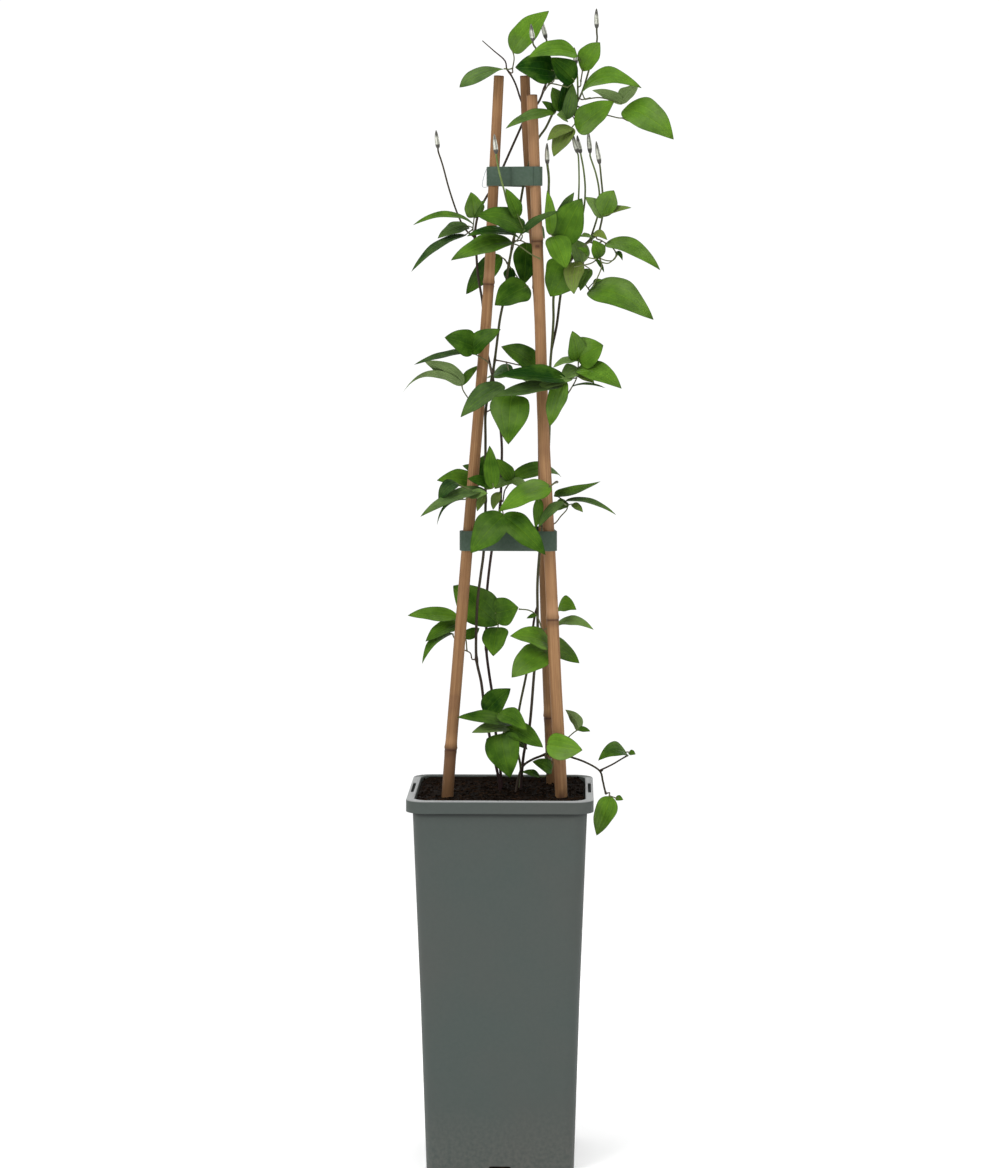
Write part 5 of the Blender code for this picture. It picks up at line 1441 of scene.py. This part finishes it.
# %% [markdown]
# ## Buds
# A closed clematis bud is a slim spindle of four downy sepals that meet at the edges and end in a
# point. It is pale silver cream with dark seams, a dark cup at the foot and a dark tip. The radius
# depends on the height for the spindle and on the angle for the four sepals, and the seams turn a
# little on their way up, which a plain lathe shape wouldn't show.

# %% Bud shape
BUD_RADIUS, BUD_SIDES = 1.5, 32
BUD_SHADES = (0.9, 0.75, 0.65, 0.95, 0.9, 0.5, 0.75, 0.75, 0.85, 0.45, 0.6)   # how dark the tip end is


def add_bud(piece, foot, axis, length, shade, turn):
    """Radius = spindle(u) * (1 - groove at the seams), with seams at four angles that turn with u."""
    u = np.r_[0, np.linspace(0.02, 0.98, 34), 1.0]
    spindle = np.interp(u, (0, 0.05, 0.12, 0.2, 0.28, 0.45, 0.62, 0.8, 0.92, 1.0),
                        (0.42, 0.74, 0.90, 1.0, 1.02, 0.99, 0.86, 0.62, 0.42, 0.18))
    seam = np.abs(np.cos(2 * (angles(BUD_SIDES)[None] + 0.3 * u[:, None] + turn)))
    above_cup = np.clip(u * 5 - 0.6, 0, 1)[:, None]
    groove = (1 - seam) ** 3 * 0.16 * above_cup
    crown = 0.05 * seam ** 2 * above_cup
    radii = BUD_RADIUS * spindle[:, None] * (1 - groove + crown - 0.03)
    side = unit(np.cross(axis, (0.3, 0.9, 0.2)))
    across = np.cross(axis, side)
    bend = 0.35 * np.sin(u * 2.6) * u
    centres = foot + np.outer(-0.3 + length * u, axis) + np.outer(bend, side)
    side, across = (np.repeat(direction[None], len(u), axis=0) for direction in (side, across))
    grid = skin(centres, side, across, radii, BUD_SIDES)
    cup = np.clip((0.25 - u) / 0.07, 0, 1)
    tip = shade * np.clip((u - 0.60) / 0.16, 0, 1)
    seams = 0.95 * (1 - seam) ** 1.25 * np.clip(u * 6 - 0.8, 0, 1)[:, None]
    dark = np.clip(np.maximum(cup, tip)[:, None] + seams, 0, 1)
    add_skin(piece, grid, (centres[0], centres[-1] + axis * 0.1), round_lay(BUD_SIDES, u), tone=shade,
             mark=np.r_[dark.ravel(), 1.0, shade])


def downy_bud():
    """Cream with soft grey down; the painted mark is where cup, seams and tip are dark."""
    made, tree, shader, where = new_material("downy bud", roughness=0.75, specular=0.25)
    shader.inputs["Sheen Weight"].default_value = 0.25
    down = place(tree, BLOTCHES, Vector=where, Scale=900.0, Detail=3.0)
    broad = place(tree, BLOTCHES, Vector=where, Scale=220.0, Detail=2.0)
    colour = mix_colours(tree, down, (0.54, 0.54, 0.46), (0.88, 0.88, 0.80))
    colour = tint(tree, colour, broad, 0.35, (0.42, 0.46, 0.33))
    colour = tint(tree, colour, painted(tree, "mark"), 0.93, (0.032, 0.029, 0.024))
    set_finish(tree, shader, colour, remap(tree, down, 0.0, 1.0, 0.65, 0.85))
    add_bump(tree, shader, place(tree, GRAIN, Vector=where, Scale=2600.0), 0.00015)
    return made


# %% Stem and bud pieces
lines = {}
stem_finish, bud_finish = stem_material(), downy_bud()
for name, branches in STEMS.items():
    piece, line, places = Piece(), Line(), attachments(name)
    for number, (start, end, points) in enumerate(branches):
        points = np.array(points, float)
        if number:
            points[0] = line.nearest(points[0])[0]
        add_stem(piece, line, points, start, end, places, STEM_TONES[name])
    for number, (owner, tip, points) in enumerate(BUDS, 1):
        if owner != name:
            continue
        tip = np.array(tip, float)
        foot = np.array(branches[0][2][-1], float)
        if points:
            points = straight_end(points, tip)
            points[0] = line.nearest(points[0])[0]
            foot = add_stem(piece, line, points, *BUD_STALK_RADII, points[:1], STALK_TONES[number])[-1]
        bud = Piece()
        reach = tip - foot
        add_bud(bud, foot, unit(reach), np.linalg.norm(reach) + 0.3, BUD_SHADES[number - 1],
                0.15 * np.sin(number * 2.3) - 0.15)
        bud.build("bud_%02d" % number, [bud_finish], "bud", sharp=70)
    lines[name] = line
    stem = piece.build(name, [stem_finish], "stem", sharp=80)
    print(name + ":", triangles(stem), "triangles")

# %% [markdown]
# ## Leaves
# A clematis leaflet is an egg-shaped blade with a drawn-out point. Three to five veins start together
# at its foot and run along it to the tip; the blade is sunken along them on its upper side and bulges
# between them. It folds a little along the middle, arches, and its edges wave. One function of two
# numbers gives every point: u from stalk to tip and v from edge to edge. The sheet gets its thickness
# from its own normals, thick in the middle and nearly nothing at the edge.

# %% Blade shape
WIDEST, TIP_POWER, BLADE_FOLD, BLADE_THICKNESS = 0.36, 0.92, 0.25, 0.30
VEINS = (0.0, 0.42, 0.78)   # shares of the half width, with how deep and how bright each vein is
VEIN_DEPTHS, VEIN_STRENGTHS = (0.30, 0.16, 0.10), (1.0, 0.6, 0.4)
BLADE_ROWS = 30
ACROSS = np.array([0, 0.05, 0.12, 0.21, 0.31, 0.38, 0.42, 0.46, 0.53, 0.62, 0.71, 0.78, 0.85, 0.93, 1.0])
ACROSS = np.r_[-ACROSS[:0:-1], ACROSS]


def blade_axes(base, tip, face):
    """Unit vectors across a blade and out of its upper side, which face turns towards the front."""
    along = unit(tip - base)
    front = np.array([0.0, -1.0, 0.0])
    front = front - along * along.dot(front)
    if np.linalg.norm(front) < 0.15:
        front = np.array([0.0, 0.0, 1.0]) - along * along[2]
    front = unit(front)
    up = np.array([0.0, 0.0, 1.0]) if abs(along[2]) < 0.95 else np.array([1.0, 0.0, 0.0])
    up = unit(up - along * up.dot(along) - front * up.dot(front))
    tilt = math.radians(face)
    out = math.cos(tilt) * up + math.sin(tilt) * front
    return np.cross(out, along), out


def blade_outline(u, widest):
    """Half width along the blade, 1 at its widest: u^low * (1 - u)^0.92."""
    low = TIP_POWER * widest / (1 - widest)
    peak = widest ** low * (1 - widest) ** TIP_POWER
    return u ** low * (1 - u) ** TIP_POWER / peak


def blade_sheet(base, tip, width, face, arch, widest, pick):
    """The blade's middle surface, rows along it and columns across, with u, v and its half widths."""
    across, out = blade_axes(base, tip, face)
    length = np.linalg.norm(tip - base)
    u = ((1 - np.cos(np.linspace(0, np.pi, BLADE_ROWS + 2)[1:-1])) / 2)[:, None]
    v = ACROSS[None]
    half = width / 2 * blade_outline(u, widest)
    lobes = np.sin(TAU * (pick.uniform(1.1, 2.1) * u + 0.35 * np.sign(v)) + pick.uniform(0, TAU))
    near = half * np.abs(v)
    strength, pace, phase = pick.uniform(0.6, 1.0), pick.uniform(1.4, 2.4), pick.uniform(0, TAU)
    side_waves = strength * np.sin(TAU * (pace * u + 0.3 * np.sign(v)) + phase)
    rise = (arch * length * 4 * u * (1 - u)
            + BLADE_FOLD * half * np.abs(v) ** 1.35 * (1 - 0.35 * u)
            + 0.055 * half * np.abs(v) ** 3 * side_waves * np.sin(np.pi * u) ** 0.5
            - 0.10 * half * np.clip(np.abs(v) - 0.6, 0, 1) * pick.uniform(0.2, 1.2))
    small = min(1.0, width / 12)
    reach = np.stack([(np.abs(v) - vein) * half for vein in VEINS], axis=-1)
    sink = (np.exp(-(reach / 0.75) ** 2) * VEIN_DEPTHS).sum(axis=-1) * np.clip(1.15 - u, 0, 1) * small
    quilt = 0.07 * np.sin(u * length / 1.9 * TAU / 2 - near * 0.8) * np.exp(-((np.abs(v) - 0.55) / 0.3) ** 2)
    rise = rise - sink + quilt * small
    twist = math.radians(pick.uniform(-9, 9)) * (u - 0.25)
    sway = pick.uniform(-0.02, 0.02) * length * np.sin(np.pi * u)
    shift = v * half * (1 + 0.05 * lobes) * np.cos(twist) + sway
    rise = rise + v * half * np.sin(twist)
    sheet = base + u[..., None] * (tip - base) + shift[..., None] * across + rise[..., None] * out
    return sheet, u, v, half


def add_blade(piece, base, tip, width, face, arch, widest, tone, pick):
    """Upper side from edge to edge, then the under side back, as one closed ring in each row."""
    sheet, u, v, half = blade_sheet(base, tip, width, face, arch, widest, pick)
    normal = unit(np.cross(np.gradient(sheet, axis=0), np.gradient(sheet, axis=1)))
    thick = (BLADE_THICKNESS * (1 - 0.8 * np.abs(v) ** 5) * np.clip(half / 1.2, 0.35, 1))[..., None] / 2
    ring = np.concatenate([(sheet + normal * thick)[:, ::-1], sheet - normal * thick], axis=1)
    lay = np.stack(np.broadcast_arrays(u, np.r_[ACROSS[::-1], ACROSS][None], half), axis=-1)
    under = np.tile(np.repeat([0.0, 1.0], len(ACROSS)), len(ring))
    add_skin(piece, ring, (base, tip), lay, [(0, 0, 0.1), (1, 0, 0.1)], tone=tone,
             mark=np.r_[under, 0.0, 0.0])


# %% [markdown]
# Leaf colour has layers: the blade's own green, which differs from leaf to leaf, broad pale patches of
# painted sheen, lighter main veins with a fine net between them, and a dark margin and tip. Veins and
# margin are drawn from the painted lay, which holds u, v and the half width, so that they keep their real
# width from foot to tip. The under side is paler, greyer and rougher. The painted tone is 0 to 1 for dark
# to bright, and 2 is added where a leaf is bluish, 4 where it is olive.

# %% Vein pattern group
def make_veins():
    """1 on a vein and 0 away from it, for veins of a given width in millimetres at steady shares of v."""
    group, given, out = new_group("leaf veins", [("Width", "NodeSocketFloat", 0.35)])
    along, across, half = painted_lay(group)
    off = calculate(group, "ABSOLUTE", across)
    total = None
    for vein, strength in zip(VEINS, VEIN_STRENGTHS):
        distance = calculate(group, "ABSOLUTE", calculate(group, "SUBTRACT", off, vein))
        distance = calculate(group, "MULTIPLY", distance, half)
        near = calculate(group, "DIVIDE", distance, given["Width"])
        line = remap(group, near, 1.0, 0.3, 0.0, strength, smooth=True)
        total = line if total is None else calculate(group, "MAXIMUM", total, line)
    ribs = add_part(group, calculate(group, "MULTIPLY", along, 62.0), off, -9.0)
    ribs = remap(group, calculate(group, "SINE", ribs), 0.82, 1.0, 0.0, 0.3, smooth=True)
    group.links.new(calculate(group, "MAXIMUM", total, ribs), out.inputs["Value"])
    return group


def make_net():
    """The fine net of veinlets: thin borders of cells, about two millimetres wide."""
    group, given, out = new_group("veinlets", [("Vector", "NodeSocketVector", None),
                                               ("Scale", "NodeSocketFloat", 460.0)])
    cells = add_node(group, "ShaderNodeTexVoronoi", {"Vector": given["Vector"], "Scale": given["Scale"]},
                     feature="DISTANCE_TO_EDGE")
    group.links.new(remap(group, cells.outputs["Distance"], 0.10, 0.0), out.inputs["Value"])
    return group


def make_margin():
    """1 on a thin line along a blade's edge, from the distance (1 - |v|) * half width, and at its tip."""
    group, given, out = new_group("leaf margin", [("Width", "NodeSocketFloat", 0.35)])
    along, v, half = painted_lay(group)
    inward = calculate(group, "SUBTRACT", 1.0, calculate(group, "ABSOLUTE", v))
    distance = calculate(group, "MULTIPLY", inward, half)
    share = calculate(group, "DIVIDE", distance, given["Width"])
    edge = calculate(group, "SUBTRACT", 1.0, share, clamp=True)
    group.links.new(calculate(group, "MAXIMUM", edge, remap(group, along, 0.92, 0.99)), out.inputs["Value"])
    return group


VEIN_LINES, VEIN_NET, MARGIN = make_veins(), make_net(), make_margin()


# %% Leaf and leaf-stalk finishes
def leaf_blade():
    """One of three greens with patches, painted sheen, veins, net and margin above; paler and duller below.
    """
    made, tree, shader, where = new_material("leaf blade", specular=0.045)
    tone = painted(tree, "tone")
    bluish = calculate(tree, "GREATER_THAN", tone, 1.5)
    olive = calculate(tree, "GREATER_THAN", tone, 3.5)
    family = calculate(tree, "ADD", bluish, olive)
    bright = add_part(tree, tone, family, -2.0)
    patches = place(tree, BLOTCHES, Vector=where, Scale=95.0, Detail=4.0)
    share = calculate(tree, "ADD", bright, remap(tree, patches, 0.0, 1.0, -0.20, 0.20), clamp=True)
    fresh = mix_colours(tree, share, (0.0065, 0.038, 0.002), (0.124, 0.264, 0.023))
    cool = mix_colours(tree, share, (0.014, 0.042, 0.010), (0.135, 0.220, 0.066))
    dull = mix_colours(tree, share, (0.030, 0.042, 0.010), (0.160, 0.205, 0.050))
    colour = mix_colours(tree, olive, mix_colours(tree, bluish, fresh, cool), dull)
    # Painted sheen: broad pale grey-green patches that stand for soft reflections on the blade.
    painted_sheen = remap(tree, place(tree, BLOTCHES, Vector=where, Scale=38.0, Detail=1.5), 0.45, 1.0, 0.0, 0.55)
    sheen_colour = mix_colours(tree, share, (0.014, 0.036, 0.010), (0.170, 0.250, 0.085))
    colour = mix_colours(tree, painted_sheen, colour, sheen_colour)
    veins = place(tree, VEIN_LINES, Width=0.42)
    net = place(tree, VEIN_NET, Vector=where, Scale=460.0)
    pale = mix_colours(tree, share, (0.034, 0.100, 0.006), (0.20, 0.36, 0.022))
    colour = tint(tree, colour, veins, 0.50, pale)
    colour = tint(tree, colour, net, 0.11, pale)
    under = mix_colours(tree, share, (0.045, 0.078, 0.022), (0.17, 0.25, 0.085))
    under = tint(tree, under, veins, 0.45, (0.24, 0.32, 0.14))
    margin = place(tree, MARGIN, Width=0.35)
    colour = tint(tree, colour, margin, 0.62, (0.018, 0.026, 0.009))
    below = painted(tree, "mark")
    colour = mix_colours(tree, below, colour, under)
    set_finish(tree, shader, colour, add_part(tree, remap(tree, below, 0.0, 1.0, 0.42, 0.68), patches, 0.12))
    height = add_part(tree, calculate(tree, "MULTIPLY", veins, -1.0), net, -0.35)
    height = calculate(tree, "MULTIPLY", height, remap(tree, below, 0.0, 1.0, 1.0, -1.0))
    grain = place(tree, GRAIN, Vector=where, Scale=1400.0)
    add_bump(tree, shader, add_part(tree, height, grain, 0.35), 0.00016, 0.8)
    return made


def leaf_stalk():
    """Brown at the foot and green further out, by the painted tone, with fine ridges."""
    made, tree, shader, _ = new_material("leaf stalk", roughness=0.55, specular=0.25)
    ridges = place(tree, STREAKS, Round=2.0, Along=0.09)
    green = mix_colours(tree, ridges, (0.11, 0.15, 0.045), (0.20, 0.27, 0.085))
    brown = mix_colours(tree, ridges, (0.050, 0.028, 0.022), (0.12, 0.070, 0.045))
    colour = mix_colours(tree, painted(tree, "tone"), brown, green)
    set_finish(tree, shader, colour, remap(tree, ridges, 0.0, 1.0, 0.48, 0.62))
    add_bump(tree, shader, ridges, 0.0001)
    return made


# %% [markdown]
# ## Sprays
# Each spray starts on its stem, so its first stalk leaves from the stem's skin at a right angle, and
# every other stalk and leaf starts on the nearest point of the stalks before it. A leaf that is
# further off gets a small stalk of its own. Letters give each leaf's shade as it looks with its light
# and shade, so they are partly painted light: d dark, partly painted shade for leaves deep in the
# plant, m and n middle, b bright, l very bright; g, h and p bluish, from dark to pale; u olive.
# A few twining stalks and tiny leaves are only in this dressed plant, and have a table of their own.

# %% Shades and small extras
# Tone for each letter; the dark ones are partly painted shade, for leaves deep inside the plant.
SHADES = {"d": 0.11, "m": 0.27, "n": 0.43, "b": 0.70, "l": 0.98,
          "g": 2.12, "h": 2.45, "p": 2.95, "u": 4.85}
LEAF_SHADES = {
    "low_single": "m", "low_middle": "mpnmnmd", "low_right": "lp", "low_small": "mm", "trail_upper": "n",
    "trail_lower": "b", "second_left": "nnbm", "second_middle": "nnn", "second_right": "bb",
    "second_behind": "npb", "third_left": "ndhnggpdu", "third_middle": "nnpmdpu", "third_front": "nn",
    "third_twining": "bn", "third_right": "nhuhn", "fourth_left": "mgm", "fourth_outer": "bbn",
    "fourth_heart": "nh", "fourth_inner": "mmm", "fourth_right": "dhpbnbbpup", "fifth_left": "bmnhg",
    "fifth_front": "ndmng", "fifth_inner": "mmd", "fifth_shade": "ddd", "fifth_round": "n",
    "fifth_dark": "nbbh", "fifth_curly": "bnup", "fifth_outer": "bupn", "fifth_tips": "bup",
    "top_left": "bh", "top_dark": "ddmm", "top_bright": "bb", "top_upright": "dhnp", "top_right": "bpp",
    "top_outer": "b", "top_low": "buu", "top_front": "nm",
}
EXTRAS = {
    "spray_low_right": ([], [((51, -15, 281), (57, -18, 279), 4, 60, 0.1)]),
    "spray_second_behind": ([[(26, 4, 341), (23, 4, 350), (18, 4, 354), (11, 3, 355)]],
                            [((22, 4, 351), (16, 3, 349), 3, 70, 0.1)]),
    "spray_trail_upper": ([], [((82, -6, 263), (86, -8, 263), 4, 60, 0.1)]),
    "spray_trail_lower": ([], [((73, -23, 236), (78, -24, 236), 4, 60, 0.1)]),
    "spray_third_left": ([], [((-22, -22, 427), (-40, -28, 411), 4, 30, 0.25)]),
    "spray_fifth_curly": ([
        [(60, -6, 586), (56, -10, 588.5), (52, -13, 585), (54, -15, 579.5), (60, -14, 578)],
        [(62, -8, 579), (63.5, -12, 574), (61.5, -14, 568), (58, -12, 561)],
        [(66, -5, 588), (70, -9, 585.5), (72.5, -11, 580.5), (68, -13, 575.5), (63, -13, 576)],
    ], [
        ((61, -9, 576), (65, -12, 569.5), 3, 60, 0.1),
        ((54, -15, 580), (47.5, -17, 585), 5, 45, 0.3),
        ((71.5, -11, 582), (76.5, -14, 577), 3.6, 60, 0.3),
    ]),
    "spray_fifth_outer": ([], [((58, -4, 563), (64, -7, 565), 3.4, 60, 0.1)]),
    "spray_fifth_dark": ([], [((45, -9, 603), (52, -12, 600), 3, 50, 0.1)]),
    "spray_fourth_right": ([], [((46, -9, 497), (66, -18, 497), 4, 20, 0.1)]),
}
STALK_RADIUS, LEAF_REACH, LEAF_SINK = 0.5, 3.0, 0.6   # a leaf within reach of a stalk sinks into it


# %% Spray pieces
def add_spray(piece, name, line):
    """Stalks first, then the leaves they carry."""
    _, stalks, leaves = SPRAYS[name]
    more_stalks, more_leaves = EXTRAS.get(name, ([], []))
    shades = LEAF_SHADES[name[6:]] + "m" * len(more_leaves)
    pick = np.random.default_rng(sum(ord(letter) * (k + 3) for k, letter in enumerate(name)))
    spray = Line()

    def add_stalk(points, tones, width=1.0):
        """A tube that is thicker at both ends; tone runs from foot to end."""
        path = smooth_path(points, 1.2)
        share = path_lengths(path) / path_lengths(path)[-1]
        ends = np.exp(-(share / 0.05) ** 2) + np.exp(-((1 - share) / 0.06) ** 2)
        radii = STALK_RADIUS * width * (0.92 - 0.12 * share + 0.30 * ends)
        add_tube(piece, path, radii, 8, tone=tones[0] + (tones[1] - tones[0]) * share, slot=1)
        spray.add(path, radii)

    for number, points in enumerate(stalks + more_stalks):
        points = [np.array(point, float) for point in points]
        if number == 0:
            centre, radius, along = line.nearest(points[0])
            away = points[1] - centre
            away = unit(away - along * away.dot(along))
            add_stalk([centre + away * radius * 0.4, centre + away * (radius + 1.9)] + points[1:], (0.0, 0.6))
        else:
            add_stalk([spray.nearest(points[0])[0]] + points[1:], (0.35, 0.75))
    for (base, tip, width, face, arch, *rest), shade in zip(leaves + more_leaves, shades):
        base, tip = np.array(base, float), np.array(tip, float)
        widest = rest[0] if rest else WIDEST
        root = spray.nearest(base)[0]
        if np.linalg.norm(base - root) < LEAF_REACH:
            base = root - LEAF_SINK * unit(tip - root)
        else:
            out = blade_axes(base, tip, face)[1]
            length = np.linalg.norm(tip - base)
            inner = base + 0.12 * (tip - base) + arch * length * 0.42 * out
            add_stalk([root, base, inner], (0.7, 0.9), 0.85)
        level = SHADES[shade]
        family = 2.0 * (level // 2)
        tone = float(np.clip(level - family + pick.uniform(-0.07, 0.07), 0, 0.99))
        add_blade(piece, base, tip, width, face, arch, widest, tone + family, pick)


leaf_finish, stalk_finish = leaf_blade(), leaf_stalk()
total = 0
for name, (owner, _, leaves) in SPRAYS.items():
    piece = Piece()
    add_spray(piece, name, lines[owner])
    spray = piece.build(name, [leaf_finish, stalk_finish], "leaf", sharp=65)
    total += triangles(spray)
print("sprays:", len(SPRAYS), "pieces,", total, "triangles")

# %% [markdown]
# ## Floor and light
# The photograph has a plain white ground. A level sheet that rises behind the plant in a quarter
# circle gives the same without a horizon. Large soft lamps from the upper left, the right and above
# model the leaves gently, and a pale surround fills the shadows. Seen past the sheet's edge, the
# surround is as white as the sheet; as a light it is only a third as strong. Far from the pot, where
# the lamps fade, the sheet itself is plain white to the eye, so no side shows a grey band behind.

# %% Floor
def sweep_sheet(half_width=5.0, front=-4.0, bend=1.6, radius=1.2, top=4.0):
    """Level in front, a quarter circle behind, then upright: y and z follow that profile, x the width."""
    a = np.linspace(0, TAU / 4, 16)
    y = np.r_[front, -1.0, 0.0, 0.6, bend + radius * np.sin(a), bend + radius]
    z = np.r_[0, 0, 0, 0, radius - radius * np.cos(a), top]
    x = np.linspace(-half_width, half_width, 12)
    points = np.stack(np.broadcast_arrays(x[None], y[:, None], z[:, None]), axis=-1)
    row = np.arange(len(y) - 1)[:, None] * len(x)
    a = row + np.arange(len(x) - 1)
    faces = np.stack([a, a + 1, a + 1 + len(x), a + len(x)], axis=-1).reshape(-1, 4)
    return points.reshape(-1, 3), faces


def floor_paper():
    """White paper that fades, further off and only to the camera, into even white."""
    made, tree, shader, where = new_material("floor paper", roughness=0.9, specular=0.1)
    clouds = place(tree, BLOTCHES, Vector=where, Scale=1.5, Detail=2.0)
    paper = mix_colours(tree, clouds, (0.86, 0.86, 0.86), (0.88, 0.88, 0.88))
    tree.links.new(paper, shader.inputs["Emission Color"])
    away = add_node(tree, "ShaderNodeVectorMath", {0: where}, operation="LENGTH").outputs["Value"]
    seen = add_node(tree, "ShaderNodeLightPath").outputs["Is Camera Ray"]
    far = calculate(tree, "MULTIPLY", remap(tree, away, 0.45, 1.3, smooth=True), seen)
    tree.links.new(mix_colours(tree, far, paper, (0.0, 0.0, 0.0)), shader.inputs["Base Color"])
    tree.links.new(remap(tree, far, 0.0, 1.0, 0.45, 1.2), shader.inputs["Emission Strength"])
    return made


floor_mesh = bpy.data.meshes.new("floor")
floor_points, floor_faces = sweep_sheet()
floor_mesh.from_pydata(floor_points.tolist(), [], floor_faces.tolist())
floor_mesh.materials.append(floor_paper())
floor_mesh.shade_smooth()
floor = add_object("floor", floor_mesh)
floor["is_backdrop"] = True


# %% Lamps and surround
def add_lamp(name, place_at, aim, size, power):
    """A square area lamp turned so that its own minus Z points at the aim."""
    lamp = bpy.data.lights.new(name, "AREA")
    lamp.size, lamp.energy = size, power
    thing = add_object(name, lamp)
    thing.location = place_at
    thing.rotation_euler = (Vector(aim) - Vector(place_at)).to_track_quat("-Z", "Y").to_euler()


add_lamp("key", (-1.5, -2.0, 2.0), (0, 0, 0.4), 1.2, 34)
add_lamp("fill", (1.8, -1.6, 1.2), (0, 0, 0.4), 1.6, 12)
add_lamp("above", (0.0, -0.2, 2.4), (0, 0, 0.3), 1.2, 22)
SURROUND_LIGHT = 0.35   # strength as a light; the camera sees it as white, 1.0
world = bpy.data.worlds.new("surround")
world.use_nodes = True
surround = world.node_tree.nodes["Background"]
surround.inputs["Color"].default_value = (1.0, 1.0, 1.0, 1.0)
seen = add_node(world.node_tree, "ShaderNodeLightPath").outputs["Is Camera Ray"]
strength = remap(world.node_tree, seen, 0.0, 1.0, SURROUND_LIGHT, 1.0)
world.node_tree.links.new(strength, surround.inputs["Strength"])
bpy.context.scene.world = world
bpy.context.scene.view_settings.view_transform = "Standard"

# %% [markdown]
# ## Sizes and finish
# Both boxes, of the CAD model and of the dressed plant, are printed side by side. The dressed
# plant has to stay as large as its CAD model.

# %% Print the sizes
shown_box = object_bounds()
sizes = {"cad": [[float(c) for c in corner] for corner in cad_box],
         "visual": [[float(c) for c in corner] for corner in shown_box]}
for label, (low, high) in sizes.items():
    print(label, "box:", [round((b - a) * 1000, 1) for a, b in zip(low, high)], "mm")
